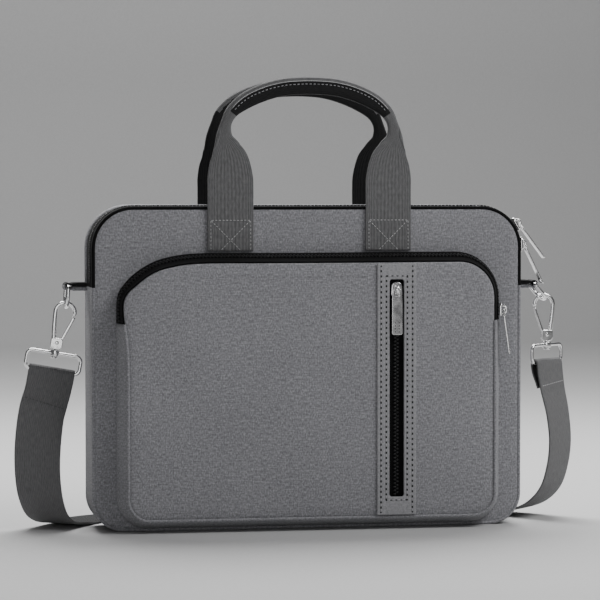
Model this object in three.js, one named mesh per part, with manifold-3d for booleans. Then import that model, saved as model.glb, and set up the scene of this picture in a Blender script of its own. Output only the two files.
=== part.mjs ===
// A laptop messenger bag in millimetres: padded body, zipped front pocket, two webbing handles and a
// clip-on shoulder strap. +X is the wearer's right seen from the front, -Y the front, +Z up.
// The origin is the middle of the bottom, on the surface that the bag stands on.
import * as THREE from "three";
import { mergeVertices } from "three/addons/utils/BufferGeometryUtils.js";
import Module from "manifold-3d";

const wasm = await Module();
wasm.setup();

// ---- Driving dimensions ----
const GAP = 0.3; // clearance between pieces that touch
const ARC_STEPS = 8; // flat sides in a quarter turn
const SMALL_ARC_STEPS = 3; // the same on small metal pieces

const BODY_WIDTH = 360;
const BODY_HEIGHT = 266;
const BODY_DEPTH = 55;
const BODY_TOP_RADIUS = 34;
const BODY_BOTTOM_RADIUS = 26;
const SHELL = 1.2; // outer fabric of the front and back
const FOAM = 4;
const LINING = 0.7;
const GUSSET = 2.5; // side, bottom and top strips
const PIPING_RADIUS = 1.5;

const ZIP_END_DROP = 66; // from the top down to where the main zip starts on each side
const ZIP_END_Z = BODY_HEIGHT - ZIP_END_DROP;
const ZIP_TAPE = 10; // width of the front tape outside its seam
const REAR_ZIP_TAPE = 26; // the rear tape is sewn to a wide binding
const ZIP_TAPE_THICK = 1.1;
const COIL_WIDTH = 6;
const COIL_THICK = 1.4;

const DIVIDER_THICK = 4;
const DIVIDER_TOP = BODY_HEIGHT - 66;
const DIVIDER_MARGIN = 15; // from the side of the bag
const BASE_BOARD = 1.5;
const BASE_BOARD_MARGIN = 30;

const POCKET_MARGIN = 19; // from the bag's side to the pocket's
const POCKET_WIDTH = BODY_WIDTH - 2 * POCKET_MARGIN;
const POCKET_BOTTOM = 2;
const POCKET_TOP = BODY_HEIGHT - 37;
const POCKET_TOP_RADIUS = 38;
const POCKET_BOTTOM_RADIUS = 26;
const POCKET_DEPTH = 18;
const POCKET_INSET = 7; // how much smaller the pocket's front is than its back, all round
const POCKET_ZIP_END_Z = POCKET_TOP - 57;
const POCKET_PANEL = 2.2;
const POCKET_GUSSET = 1.7;
const POCKET_PIPING_RADIUS = 1.3;
const POCKET_COIL = 5.6;

const TRIM_X = POCKET_WIDTH / 2 - 92; // the trim strip keeps its distance from the pocket's right side
const TRIM_WIDTH = 33;
const TRIM_THICK = 1.3;
const SLIDER_WIDTH = 10;
const SLOT_WIDTH = SLIDER_WIDTH + 2; // the slider runs in the slot
const SLOT_BOTTOM = POCKET_BOTTOM + 25;
const SLOT_TOP = POCKET_TOP - 23;
const SLOT_RADIUS = 2;
const SLIT_TAPE = 11; // tape width beside the slot's middle
const SLIT_TAPE_END = 8; // tape beyond each end of the slot
const SLIT_COIL = 4.4;
const SLIT_BAG_WIDTH = 120;

const SLIDER_LENGTH = 12;
const SLIDER_THICK = 2;
const BRIDGE_WIDTH = 2.2;
const BRIDGE_LENGTH = 8;
const BRIDGE_RISE = 4.2;
const BRIDGE_WALL = 1.6;
const PULLER_LENGTH = 38;
const PULLER_WIDTH = 8.8;
const PULLER_THICK = 1.2;
const PULLER_BAR = 1.8; // metal above the puller's slot
const UPPER_SLIDER_ANGLE = 30; // degrees round the corner from the side
const LOWER_SLIDER_Z = ZIP_END_Z + 34;
const UPPER_PULLER_LIFT = 7;
const LOWER_PULLER_LIFT = 26;
const POCKET_SLIDER_Z = POCKET_ZIP_END_Z + 8;
const POCKET_PULLER_LIFT = 8;
const SLIT_SLIDER_Z = SLOT_TOP - 8.5;

const HANDLE_SPREAD = 66; // from the middle to each leg
const HANDLE_RISE = 99; // from the bag's top edge to the middle of the grip
const WEBBING = 38;
const WEBBING_THICK = 2;
const GRIP_HEIGHT = 15;
const GRIP_THICK = 7;

const HARDWARE_BEHIND_ZIP = 18.7; // the strap hardware hangs behind the zip's line
const TAB_Z = ZIP_END_Z;
const TAB_REACH = 17; // from the bag's side to the middle of the D-ring's bar
const TAB_WIDTH = 20;
const WIRE = 3;
const RING_BEVEL = 0.8;
const D_WIDTH = 28;
const D_DROP = 17; // from the middle of the bar to the middle of the bow
const HOOK_HEIGHT = 41;
const HOOK_THICK = 4;
const HOOK_WIRE = 3.3;
const HOOK_LOOP = 9.7; // outer radius of the hook's top
const HOOK_OFFSET = 2.7; // from the swivel's line to the middle of the loop, towards the bag
const HOOK_BASE = 4.6; // half the width of the hook's base
const HOOK_BASE_TOP = 8.6;
const HOOK_NOSE = 1.08 * Math.PI; // the loop's angle from its outer side round to the nose
const HOOK_LEG = 9; // how far below the loop's middle its side runs straight
const GATE_SLOT = { width: 8.2, height: 9 };
const GATE_THICK = 1.4;
const GATE_X = -3; // middle of the gate's pin, from the swivel's line
const GATE_Z = 6.6; // the same, above the hook's base
const GATE_PIN_RADIUS = 0.9;
const SWIVEL_RADIUS = 1.6;
const BOSS_RADIUS = 3.4;
const BOSS_HEIGHT = 5;
const RING_WIDTH = WEBBING + 10;
const RING_HEIGHT = 18;
const SIDES = [
  { name: "left", side: -1, swing: 3, tilt: 10, yaw: 0 },
  { name: "right", side: 1, swing: 40, tilt: 0, yaw: 42 },
];

const STRAP_THICK = 1.8;
const STRAP_LIFT = 1.8; // height of the strap's middle where it lies flat
const STRAP_STEPS = 78;
const STRAP_LINE_Y = 75; // the straight stretch behind the bag
const ADJUSTER_X = 10;
const ADJUSTER_LENGTH = 26; // along the strap
const ADJUSTER_WIDTH = WEBBING + 9; // across the strap
const ADJUSTER_THICK = 2.4;
const ADJUSTER_BAR = 4;
const DOUBLED_LENGTH = 95;

// Middle of the shoulder strap, from the end folded behind the left ring to the one behind the right ring.
const STRAP_ROUTE = [
  [-217.8, 4.9, 97],
  [-213.4, 5.4, 113],
  [-210.9, 6.7, 124.5],
  [-209.9, 7.3, 130.3],
  [-209.55, 6.5, 132.3],
  [-209.4, 4.5, 133.1],
  [-209.55, 2.5, 132.3],
  [-209.9, 1.7, 130.3],
  [-210.9, 2.1, 124.5],
  [-213.6, 2.5, 113],
  [-218.4, 1.3, 97],
  [-222, -1, 70],
  [-222.4, -2.5, 46],
  [-220, -3.5, 27],
  [-214.5, 2, 12.5],
  [-206, 14, 4.8],
  [-194, 31, 2.2],
  [-178, 51, 1.8],
  [-155, 67, 1.8],
  [-125, 74, 1.8],
  [-60, 75, 1.8],
  [10, 75, 1.8],
  [80, 75, 1.8],
  [125, 73, 1.8],
  [154, 64, 1.8],
  [177, 50, 2.4],
  [194, 36, 5.5],
  [207, 22, 13],
  [216, 10, 27],
  [220.5, 5, 45],
  [222, 2, 66],
  [219.6, 1.1, 90],
  [215, 1.3, 112],
  [213, 1.9, 126],
  [212.47, 2.42, 133],
  [211.95, 3, 135],
  [210.6, 4.5, 135.8],
  [209.25, 6, 135],
  [208.73, 6.58, 133],
  [209.3, 6.1, 126],
  [212.6, 4, 114],
  [216.6, 4.1, 96],
];
// The strap's width direction beside each of those points.
const STRAP_ACROSS = [
  [0.99, -0.02, -0.1],
  [0.99, 0, -0.15],
  [0.985, 0, -0.174],
  [0.985, 0, -0.174],
  [0.985, 0, -0.174],
  [0.985, 0, -0.174],
  [0.985, 0, -0.174],
  [0.985, 0, -0.174],
  [0.985, 0, -0.174],
  [0.99, 0, -0.14],
  [1, -0.03, -0.08],
  [0.98, -0.15, 0],
  [0.95, -0.3, 0],
  [0.91, -0.42, 0],
  [0.87, -0.5, 0],
  [0.83, -0.56, 0],
  [0.81, -0.58, 0],
  [0.7, -0.71, 0],
  [0.42, -0.91, 0],
  [0.12, -0.99, 0],
  [0, -1, 0],
  [0, -1, 0],
  [0, -1, 0],
  [-0.2, -0.98, 0],
  [-0.48, -0.88, 0],
  [-0.61, -0.79, 0],
  [-0.67, -0.74, 0],
  [-0.68, -0.73, 0],
  [-0.68, -0.73, 0],
  [-0.68, -0.73, 0],
  [-0.68, -0.73, 0],
  [-0.69, -0.72, 0],
  [-0.72, -0.69, 0],
  [-0.743, -0.669, 0],
  [-0.743, -0.669, 0],
  [-0.743, -0.669, 0],
  [-0.743, -0.669, 0],
  [-0.743, -0.669, 0],
  [-0.743, -0.669, 0],
  [-0.743, -0.669, 0],
  [-0.73, -0.68, 0],
  [-0.7, -0.71, 0],
];

// ---- Derived places ----
const BODY = {
  half: BODY_WIDTH / 2,
  bottom: 0,
  top: BODY_HEIGHT,
  topRadius: BODY_TOP_RADIUS,
  bottomRadius: BODY_BOTTOM_RADIUS,
};
const POCKET = {
  half: POCKET_WIDTH / 2,
  bottom: POCKET_BOTTOM,
  top: POCKET_TOP,
  topRadius: POCKET_TOP_RADIUS,
  bottomRadius: POCKET_BOTTOM_RADIUS,
};
const FACE_Y = BODY_DEPTH / 2;
const PANEL_INSET = 2 * PIPING_RADIUS + GAP;
const GUSSET_Y = FACE_Y - 2 * PIPING_RADIUS - GAP;
const MAIN_ZIP_Y = -GUSSET_Y + ZIP_TAPE;
const HARDWARE_Y = MAIN_ZIP_Y + HARDWARE_BEHIND_ZIP;
const COIL_BOTTOM = 0.1;
const COIL_TOP = COIL_BOTTOM + COIL_THICK;
const POCKET_BACK_Y = -FACE_Y - GAP;
const POCKET_PANEL_Y = POCKET_BACK_Y - POCKET_DEPTH - GAP;
const POCKET_PANEL_INSET = POCKET_INSET + 2 * POCKET_PIPING_RADIUS;
const POCKET_SLANT = Math.hypot(POCKET_INSET, POCKET_DEPTH);
const TRIM_Y = POCKET_PANEL_Y - POCKET_PANEL - GAP;
const HANDLE_Y = FACE_Y + GAP + WEBBING_THICK / 2;
const LEG_BOTTOM = POCKET_TOP + GAP;
const TAB_RADIUS = WIRE / 2 + 2;

// ---- Looks ----
const look = (color, roughness, metalness = 0) => ({ color, roughness, metalness });
const CLOTH = look(0x7b7a7c, 0.9);
const WEB = look(0x565656, 0.85);
const TAPE = look(0x1b1b1c, 0.8);
const COIL = look(0x141415, 0.5);
const LEATHER = look(0x67686a, 0.55);
const METAL = look(0xc9cacc, 0.25, 1);
const PADDING = look(0xd8d6cf, 0.95);
const LINING_CLOTH = look(0x4a4b50, 0.9);
const BOARD = look(0x303032, 0.7);

const bag = new THREE.Group();

function add(name, geometry, style, parent = bag) {
  const mesh = new THREE.Mesh(geometry, new THREE.MeshStandardMaterial(style));
  mesh.name = name;
  parent.add(mesh);
  return mesh;
}

// ---- Geometry helpers ----
function solid(geometry) {
  const bare = geometry.index ? geometry.toNonIndexed() : geometry.clone();
  bare.deleteAttribute("normal");
  bare.deleteAttribute("uv");
  const merged = mergeVertices(bare, 1e-4);
  return new wasm.Manifold(
    new wasm.Mesh({
      numProp: 3,
      vertProperties: merged.attributes.position.array,
      triVerts: new Uint32Array(merged.index.array),
    }),
  );
}

function fromSolid(made) {
  const mesh = made.getMesh();
  const geometry = new THREE.BufferGeometry();
  geometry.setAttribute("position", new THREE.BufferAttribute(mesh.vertProperties, 3));
  geometry.setIndex(new THREE.BufferAttribute(mesh.triVerts, 1));
  geometry.computeVertexNormals();
  return geometry;
}

const join = (first, ...rest) => fromSolid(rest.reduce((sum, g) => sum.add(solid(g)), solid(first)));
const cut = (first, ...rest) => fromSolid(rest.reduce((sum, g) => sum.subtract(solid(g)), solid(first)));

// A closed skin over rings of points, with a flat cap at each end. Every ring is convex.
function loft(rings) {
  const count = rings[0].length;
  const index = [];
  for (let i = 0; i + 1 < rings.length; i++) {
    for (let j = 0; j < count; j++) {
      const k = (j + 1) % count;
      const near = i * count;
      const far = near + count;
      index.push(near + j, near + k, far + k, near + j, far + k, far + j);
    }
  }
  const last = (rings.length - 1) * count;
  for (let j = 1; j + 1 < count; j++) index.push(0, j + 1, j, last, last + j, last + j + 1);
  const points = rings.flat();
  const volume = new THREE.Vector3();
  let sum = 0;
  for (let i = 0; i < index.length; i += 3) {
    const [a, b, c] = [points[index[i]], points[index[i + 1]], points[index[i + 2]]];
    sum += volume.crossVectors(b, c).dot(a);
  }
  if (sum < 0) index.reverse();
  const geometry = new THREE.BufferGeometry();
  geometry.setAttribute("position", new THREE.Float32BufferAttribute(points.flatMap((p) => p.toArray()), 3));
  geometry.setIndex(index);
  geometry.computeVertexNormals();
  return geometry;
}

// A quarter turn of an outline: points with their outward directions.
function corner(x, z, radius, from, to) {
  return Array.from({ length: ARC_STEPS + 1 }, (_, i) => {
    const angle = THREE.MathUtils.degToRad(from + ((to - from) * i) / ARC_STEPS);
    const nx = Math.cos(angle);
    const nz = Math.sin(angle);
    return { x: x + radius * nx, z: z + radius * nz, nx, nz };
  });
}

// The part of an outline above a height, from its left end over the top to its right end.
function upperRun(o, endZ) {
  const x = o.half - o.topRadius;
  const z = o.top - o.topRadius;
  return [
    { x: -o.half, z: endZ, nx: -1, nz: 0 },
    ...corner(-x, z, o.topRadius, 180, 90),
    ...corner(x, z, o.topRadius, 90, 0),
    { x: o.half, z: endZ, nx: 1, nz: 0 },
  ];
}

// The part of an outline below a height, from its left end under the bottom to its right end.
function lowerRun(o, endZ) {
  const x = o.half - o.bottomRadius;
  const z = o.bottom + o.bottomRadius;
  return [
    { x: -o.half, z: endZ, nx: -1, nz: 0 },
    ...corner(-x, z, o.bottomRadius, 180, 270),
    ...corner(x, z, o.bottomRadius, 270, 360),
    { x: o.half, z: endZ, nx: 1, nz: 0 },
  ];
}

// A section, given as [outwards, y] pairs, carried along a run.
function band(run, section) {
  return loft(run.map((s) => section.map(([n, y]) => new THREE.Vector3(s.x + n * s.nx, y, s.z + n * s.nz))));
}

const box = (n0, n1, y0, y1) => [[n0, y0], [n1, y0], [n1, y1], [n0, y1]];

// An eight-sided section of a cord in a seam.
function cordSection(n, y, radius) {
  return Array.from({ length: 8 }, (_, i) => {
    const angle = ((i + 0.5) * Math.PI) / 4;
    return [n + radius * Math.cos(angle), y + radius * Math.sin(angle)];
  });
}

// The whole outline, moved inwards.
function outlineShape(o, inset) {
  const [half, bottom, top] = [o.half - inset, o.bottom + inset, o.top - inset];
  const [rt, rb] = [o.topRadius - inset, o.bottomRadius - inset];
  const shape = new THREE.Shape();
  shape.moveTo(-half + rb, bottom);
  shape.lineTo(half - rb, bottom);
  shape.absarc(half - rb, bottom + rb, rb, -Math.PI / 2, 0, false);
  shape.lineTo(half, top - rt);
  shape.absarc(half - rt, top - rt, rt, 0, Math.PI / 2, false);
  shape.lineTo(-half + rt, top);
  shape.absarc(-half + rt, top - rt, rt, Math.PI / 2, Math.PI, false);
  shape.lineTo(-half, bottom + rb);
  shape.absarc(-half + rb, bottom + rb, rb, Math.PI, 1.5 * Math.PI, false);
  return shape;
}

const roundedBox = (width, bottom, top, radius) =>
  outlineShape({ half: width / 2, bottom, top, topRadius: radius, bottomRadius: radius }, 0);

// A flat shape drawn in X and Z, standing in front of yBack with its thickness towards the front.
function plate(shape, yBack, thickness, bevel = 0, steps = ARC_STEPS) {
  const geometry = new THREE.ExtrudeGeometry(shape, {
    depth: thickness - 2 * bevel,
    curveSegments: steps,
    bevelEnabled: bevel > 0,
    bevelThickness: bevel,
    bevelSize: bevel,
    bevelOffset: -bevel,
    bevelSegments: 1,
  });
  geometry.rotateX(Math.PI / 2);
  geometry.translate(0, yBack - bevel, 0);
  return geometry;
}

// A round bar along Y.
const pin = (radius, length, sides = 12) => new THREE.CylinderGeometry(radius, radius, length, sides);
// A round bar along Z.
const post = (radius, length, sides = 12) => pin(radius, length, sides).rotateX(Math.PI / 2);

// ---- Main compartment ----
function makeShell() {
  const walls = [
    { name: "front", sign: -1 },
    { name: "back", sign: 1 },
  ];
  for (const { name, sign } of walls) {
    const layers = [
      [`body_${name}_panel`, SHELL, CLOTH],
      [`${name}_foam_pad`, FOAM, PADDING],
      [`${name}_lining`, LINING, LINING_CLOTH],
    ];
    let depth = 0;
    for (const [layer, thickness, style] of layers) {
      const outer = sign * (FACE_Y - depth);
      const yBack = sign < 0 ? outer + thickness : outer;
      add(layer, plate(outlineShape(BODY, PANEL_INSET), yBack, thickness), style);
      depth += thickness + GAP;
    }
    const seam = cordSection(-PIPING_RADIUS, sign * (FACE_Y - PIPING_RADIUS), PIPING_RADIUS);
    add(`${name}_piping`, cut(ring(BODY, seam), gapInPiping(sign)), CLOTH);
  }
  const under = lowerRun(BODY, ZIP_END_Z - GAP);
  add("side_bottom_gusset", band(under, box(-GUSSET, 0, -GUSSET_Y, GUSSET_Y)), CLOTH);
  const top = upperRun(BODY, ZIP_END_Z);
  add("top_gusset_strip", band(top, box(-GUSSET, 0, MAIN_ZIP_Y + REAR_ZIP_TAPE + GAP, GUSSET_Y)), CLOTH);
  const tapeTop = -0.2;
  const tapeBottom = tapeTop - ZIP_TAPE_THICK;
  add("main_zip_tape_front", band(top, box(tapeBottom, tapeTop, -GUSSET_Y, MAIN_ZIP_Y - GAP / 2)), TAPE);
  const rearTape = box(tapeBottom, tapeTop, MAIN_ZIP_Y + GAP / 2, MAIN_ZIP_Y + REAR_ZIP_TAPE);
  add("main_zip_tape_rear", band(top, rearTape), TAPE);
  const half = COIL_WIDTH / 2;
  const coilRun = upperRun(BODY, TAB_Z + TAB_RADIUS + GAP);
  const coil = box(COIL_BOTTOM, COIL_TOP, MAIN_ZIP_Y - half, MAIN_ZIP_Y + half);
  add("main_zip_coil", band(coilRun, coil), COIL);
}

// The whole way round an outline: an upper and a lower run joined.
function ring(o, section) {
  const middle = (o.bottom + o.top) / 2;
  const overlap = 0.5;
  return join(band(upperRun(o, middle - overlap), section), band(lowerRun(o, middle + overlap), section));
}

// The cord in the seam starts and ends in the middle of the bottom.
function gapInPiping(sign) {
  return new THREE.BoxGeometry(GAP, 4 * PIPING_RADIUS, 6 * PIPING_RADIUS).translate(0, sign * FACE_Y, 0);
}

function makeInside() {
  const boardTop = GUSSET + GAP + BASE_BOARD;
  const board = new THREE.BoxGeometry(
    BODY_WIDTH - 2 * BASE_BOARD_MARGIN,
    2 * (FACE_Y - SHELL - FOAM - LINING - 4 * GAP) - 2,
    BASE_BOARD,
  );
  add("base_board", board.translate(0, 0, boardTop - BASE_BOARD / 2), BOARD);
  const width = BODY_WIDTH - 2 * DIVIDER_MARGIN;
  const shape = roundedBox(width, boardTop + GAP, DIVIDER_TOP, DIVIDER_MARGIN);
  add("laptop_divider", plate(shape, DIVIDER_THICK / 2, DIVIDER_THICK), LINING_CLOTH);
}

// ---- Front pocket ----
// A point of the pocket's slanted side: along it from the bag, and out of it.
function onSlant(along, out) {
  const run = POCKET_INSET / POCKET_SLANT;
  const rise = POCKET_DEPTH / POCKET_SLANT;
  return [-along * run + out * rise, POCKET_BACK_Y - along * rise - out * run];
}

const slantBox = (a0, a1, m0, m1) => [onSlant(a0, m0), onSlant(a1, m0), onSlant(a1, m1), onSlant(a0, m1)];

function makePocket() {
  const from = POCKET_INSET * 0.1;
  const to = POCKET_SLANT - GAP;
  const middle = (from + to) / 2;
  const upper = upperRun(POCKET, POCKET_ZIP_END_Z);
  const lower = lowerRun(POCKET, POCKET_ZIP_END_Z - GAP);
  const tapeOut = -0.2;
  const tapeIn = tapeOut - ZIP_TAPE_THICK;
  add("pocket_gusset", band(lower, slantBox(from, to, -POCKET_GUSSET, 0)), CLOTH);
  add("pocket_zip_tape_outer", band(upper, slantBox(from, middle - GAP / 2, tapeIn, tapeOut)), TAPE);
  add("pocket_zip_tape_inner", band(upper, slantBox(middle + GAP / 2, to, tapeIn, tapeOut)), TAPE);
  const half = POCKET_COIL / 2;
  add("pocket_zip_coil", band(upper, slantBox(middle - half, middle + half, COIL_BOTTOM, COIL_TOP)), COIL);
  const seam = [-POCKET_INSET - POCKET_PIPING_RADIUS + GAP, POCKET_PANEL_Y - POCKET_PIPING_RADIUS];
  add("pocket_piping", band(lower, cordSection(...seam, POCKET_PIPING_RADIUS)), CLOTH);
  const panel = outlineShape(POCKET, POCKET_PANEL_INSET + GAP);
  panel.holes.push(slotShape());
  add("pocket_front_panel", plate(panel, POCKET_PANEL_Y, POCKET_PANEL), CLOTH);
}

// The slot for the upright zip, beside the middle of the bag.
function slotShape() {
  const slot = roundedBox(SLOT_WIDTH, SLOT_BOTTOM, SLOT_TOP, SLOT_RADIUS);
  const hole = new THREE.Path();
  hole.setFromPoints(slot.getPoints(SMALL_ARC_STEPS).map((p) => new THREE.Vector2(p.x + TRIM_X, p.y)));
  return hole;
}

function makeTrim() {
  const bottom = POCKET_BOTTOM + POCKET_PANEL_INSET + GAP;
  const top = POCKET_TOP - POCKET_PANEL_INSET - GAP;
  const strip = new THREE.Shape();
  strip.moveTo(TRIM_X - TRIM_WIDTH / 2, bottom);
  strip.lineTo(TRIM_X + TRIM_WIDTH / 2, bottom);
  strip.lineTo(TRIM_X + TRIM_WIDTH / 2, top);
  strip.lineTo(TRIM_X - TRIM_WIDTH / 2, top);
  strip.holes.push(slotShape());
  add("trim_strip", plate(strip, TRIM_Y, TRIM_THICK), LEATHER);
  const tapeY = POCKET_PANEL_Y + GAP + ZIP_TAPE_THICK;
  const [zipBottom, zipTop] = [SLOT_BOTTOM - SLIT_TAPE_END, SLOT_TOP + SLIT_TAPE_END];
  for (const [name, side] of [["left", -1], ["right", 1]]) {
    const tape = new THREE.BoxGeometry(SLIT_TAPE, ZIP_TAPE_THICK, zipTop - zipBottom);
    const x = TRIM_X + side * (SLIT_TAPE / 2 + GAP / 2);
    tape.translate(x, tapeY - ZIP_TAPE_THICK / 2, (zipBottom + zipTop) / 2);
    add(`slit_zip_tape_${name}`, tape, TAPE);
  }
  const coil = new THREE.BoxGeometry(SLIT_COIL, COIL_THICK, SLOT_TOP - SLOT_BOTTOM - 2);
  const coilY = tapeY - ZIP_TAPE_THICK - COIL_BOTTOM - COIL_THICK / 2;
  add("slit_zip_coil", coil.translate(TRIM_X, coilY, (SLOT_BOTTOM + SLOT_TOP) / 2), COIL);
  const sack = roundedBox(SLIT_BAG_WIDTH, SLOT_BOTTOM - SLIT_TAPE_END, SLOT_TOP + SLIT_TAPE_END, 8);
  add("slit_pocket_bag", plate(sack, tapeY + GAP + LINING, LINING).translate(TRIM_X, 0, 0), LINING_CLOTH);
}

// ---- Sliders and pullers ----
// Both are drawn facing the front: X across the zip, Z along it, and the slider's inner face at y = 0.
const PULLER_PIVOT = -(SLIDER_THICK + (BRIDGE_RISE - BRIDGE_WALL) / 2);

function rectangle(Kind, x0, x1, y0, y1) {
  const path = new Kind();
  path.moveTo(x0, y0);
  path.lineTo(x1, y0);
  path.lineTo(x1, y1);
  path.lineTo(x0, y1);
  path.closePath();
  return path;
}

function sliderGeometry() {
  const outline = roundedBox(SLIDER_WIDTH, -SLIDER_LENGTH / 2, SLIDER_LENGTH / 2, 3);
  const foot = plate(outline, 0, SLIDER_THICK, 0, SMALL_ARC_STEPS);
  const half = BRIDGE_LENGTH / 2;
  const sunk = 0.5; // the bridge's feet run into the slider by this
  const arch = rectangle(THREE.Shape, -half, half, -sunk, BRIDGE_RISE);
  const inner = half - BRIDGE_WALL;
  arch.holes.push(rectangle(THREE.Path, -inner, inner, 0, BRIDGE_RISE - BRIDGE_WALL));
  const bridge = new THREE.ExtrudeGeometry(arch, { depth: BRIDGE_WIDTH, bevelEnabled: false });
  bridge.translate(0, 0, -BRIDGE_WIDTH / 2);
  // Drawn with X along the zip and Y outwards, then stood on the slider's face.
  const along = new THREE.Vector3(0, 0, 1);
  const outwards = new THREE.Vector3(0, -1, 0);
  const sideways = new THREE.Vector3(1, 0, 0);
  bridge.applyMatrix4(new THREE.Matrix4().makeBasis(along, outwards, sideways));
  return join(foot, bridge.translate(0, -SLIDER_THICK, 0));
}

function pullerGeometry() {
  const top = PULLER_BAR / 2;
  const shape = new THREE.Shape();
  const half = PULLER_WIDTH / 2;
  shape.moveTo(-half + 1.5, top);
  shape.lineTo(-half, top - 6);
  shape.lineTo(-half, top - PULLER_LENGTH + 1);
  shape.lineTo(-half + 1, top - PULLER_LENGTH);
  shape.lineTo(half - 1, top - PULLER_LENGTH);
  shape.lineTo(half, top - PULLER_LENGTH + 1);
  shape.lineTo(half, top - 6);
  shape.lineTo(half - 1.5, top);
  const eyeHalf = BRIDGE_WIDTH / 2 + 0.6;
  const eyeTop = -PULLER_BAR / 2;
  const eyeBottom = eyeTop - BRIDGE_LENGTH / 2 - 0.6;
  shape.holes.push(rectangle(THREE.Path, -eyeHalf, eyeHalf, eyeBottom, eyeTop));
  return plate(shape, PULLER_THICK / 2, PULLER_THICK);
}

// A slider whose middle is at the group's origin, with its puller lifted off the zip by some degrees.
function addSlider(name, parent, lift) {
  add(`${name}_slider`, sliderGeometry(), METAL, parent);
  const hinge = new THREE.Group();
  hinge.position.set(0, PULLER_PIVOT, 0);
  hinge.rotation.x = THREE.MathUtils.degToRad(-lift);
  parent.add(hinge);
  add(`${name}_puller`, pullerGeometry(), METAL, hinge);
}

function makeSliders() {
  const clear = COIL_TOP + GAP;
  const round = new THREE.Group();
  round.position.set(BODY.half - BODY_TOP_RADIUS, MAIN_ZIP_Y, BODY_HEIGHT - BODY_TOP_RADIUS);
  round.rotation.y = THREE.MathUtils.degToRad(-UPPER_SLIDER_ANGLE);
  bag.add(round);
  const upper = new THREE.Group();
  upper.position.set(BODY_TOP_RADIUS + clear + SLIDER_LENGTH ** 2 / (8 * BODY_TOP_RADIUS), 0, 0);
  upper.rotation.z = Math.PI / 2;
  round.add(upper);
  addSlider("upper", upper, UPPER_PULLER_LIFT);

  const lower = new THREE.Group();
  lower.position.set(BODY.half + clear, MAIN_ZIP_Y, LOWER_SLIDER_Z);
  lower.rotation.z = Math.PI / 2;
  bag.add(lower);
  addSlider("lower", lower, LOWER_PULLER_LIFT);

  const slant = Math.atan2(POCKET_INSET, POCKET_DEPTH);
  const [n, y] = onSlant(POCKET_SLANT / 2, clear);
  const pocket = new THREE.Group();
  pocket.position.set(POCKET.half + n, y, POCKET_SLIDER_Z);
  pocket.rotation.z = Math.PI / 2 - slant;
  bag.add(pocket);
  addSlider("pocket", pocket, POCKET_PULLER_LIFT);

  const slit = new THREE.Group();
  slit.position.set(TRIM_X, POCKET_PANEL_Y - COIL_THICK - COIL_BOTTOM, SLIT_SLIDER_Z);
  bag.add(slit);
  addSlider("slit", slit, 0);
}

// ---- Handles ----
// Stations of the left half of a handle: [x, z above the bag's top, height of the section, thickness].
const HANDLE_HALF = [
  [-HANDLE_SPREAD, 0.7, WEBBING, WEBBING_THICK],
  [-HANDLE_SPREAD, 28, WEBBING, WEBBING_THICK],
  [-HANDLE_SPREAD - 1, 38, 0.84 * WEBBING, 1.6 * WEBBING_THICK],
  [-HANDLE_SPREAD - 3, 48, 0.6 * WEBBING, 2.4 * WEBBING_THICK],
  [-HANDLE_SPREAD - 5, 58, 0.35 * WEBBING, 3.4 * WEBBING_THICK],
  [-HANDLE_SPREAD - 3, 68, 0.6 * GRIP_HEIGHT, GRIP_THICK],
  [-HANDLE_SPREAD + 2, HANDLE_RISE - 22, 0.75 * GRIP_HEIGHT, GRIP_THICK],
  [-HANDLE_SPREAD + 12, HANDLE_RISE - 13, GRIP_HEIGHT, GRIP_THICK],
  [-HANDLE_SPREAD + 28, HANDLE_RISE - 5, GRIP_HEIGHT, GRIP_THICK],
  [-HANDLE_SPREAD / 3, HANDLE_RISE - 0.8, GRIP_HEIGHT, GRIP_THICK],
];

function makeHandle(name, sign) {
  const mirrored = HANDLE_HALF.map(([x, ...rest]) => [-x, ...rest]).reverse();
  const stations = [...HANDLE_HALF, ...mirrored];
  const rings = stations.map(([x, z, height, thick], i) => {
    const before = stations[Math.max(i - 1, 0)];
    const after = stations[Math.min(i + 1, stations.length - 1)];
    const run = new THREE.Vector2(after[0] - before[0], after[1] - before[1]).normalize();
    const chamfer = thick * 0.3;
    const outline = [
      [-height / 2, -thick / 2 + chamfer],
      [-height / 2 + chamfer, -thick / 2],
      [height / 2 - chamfer, -thick / 2],
      [height / 2, -thick / 2 + chamfer],
      [height / 2, thick / 2 - chamfer],
      [height / 2 - chamfer, thick / 2],
      [-height / 2 + chamfer, thick / 2],
      [-height / 2, thick / 2 - chamfer],
    ];
    const middle = new THREE.Vector3(x, sign * HANDLE_Y, BODY_HEIGHT + z);
    return outline.map(([h, y]) => new THREE.Vector3(h * run.y, y, -h * run.x).add(middle));
  });
  add(`${name}_handle_loop`, loft(rings), WEB);
  for (const [leg, side] of [["left", -1], ["right", 1]]) {
    const end = new THREE.BoxGeometry(WEBBING, WEBBING_THICK, BODY_HEIGHT - LEG_BOTTOM);
    const middle = (BODY_HEIGHT + LEG_BOTTOM) / 2;
    add(`${name}_handle_end_${leg}`, end.translate(side * HANDLE_SPREAD, sign * HANDLE_Y, middle), WEB);
  }
}

// ---- Strap hardware ----
function tabGeometry(side) {
  const shape = new THREE.Shape();
  shape.moveTo(GAP - TAB_REACH, -TAB_RADIUS);
  shape.absarc(0, 0, TAB_RADIUS, -Math.PI / 2, Math.PI / 2, false);
  shape.lineTo(GAP - TAB_REACH, TAB_RADIUS);
  const hole = new THREE.Path();
  hole.absarc(0, 0, WIRE / 2 + 0.5, 0, 2 * Math.PI, false);
  shape.holes.push(hole);
  const geometry = plate(shape, TAB_WIDTH / 2, TAB_WIDTH, 0, 4);
  return side < 0 ? geometry.rotateZ(Math.PI) : geometry;
}

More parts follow.
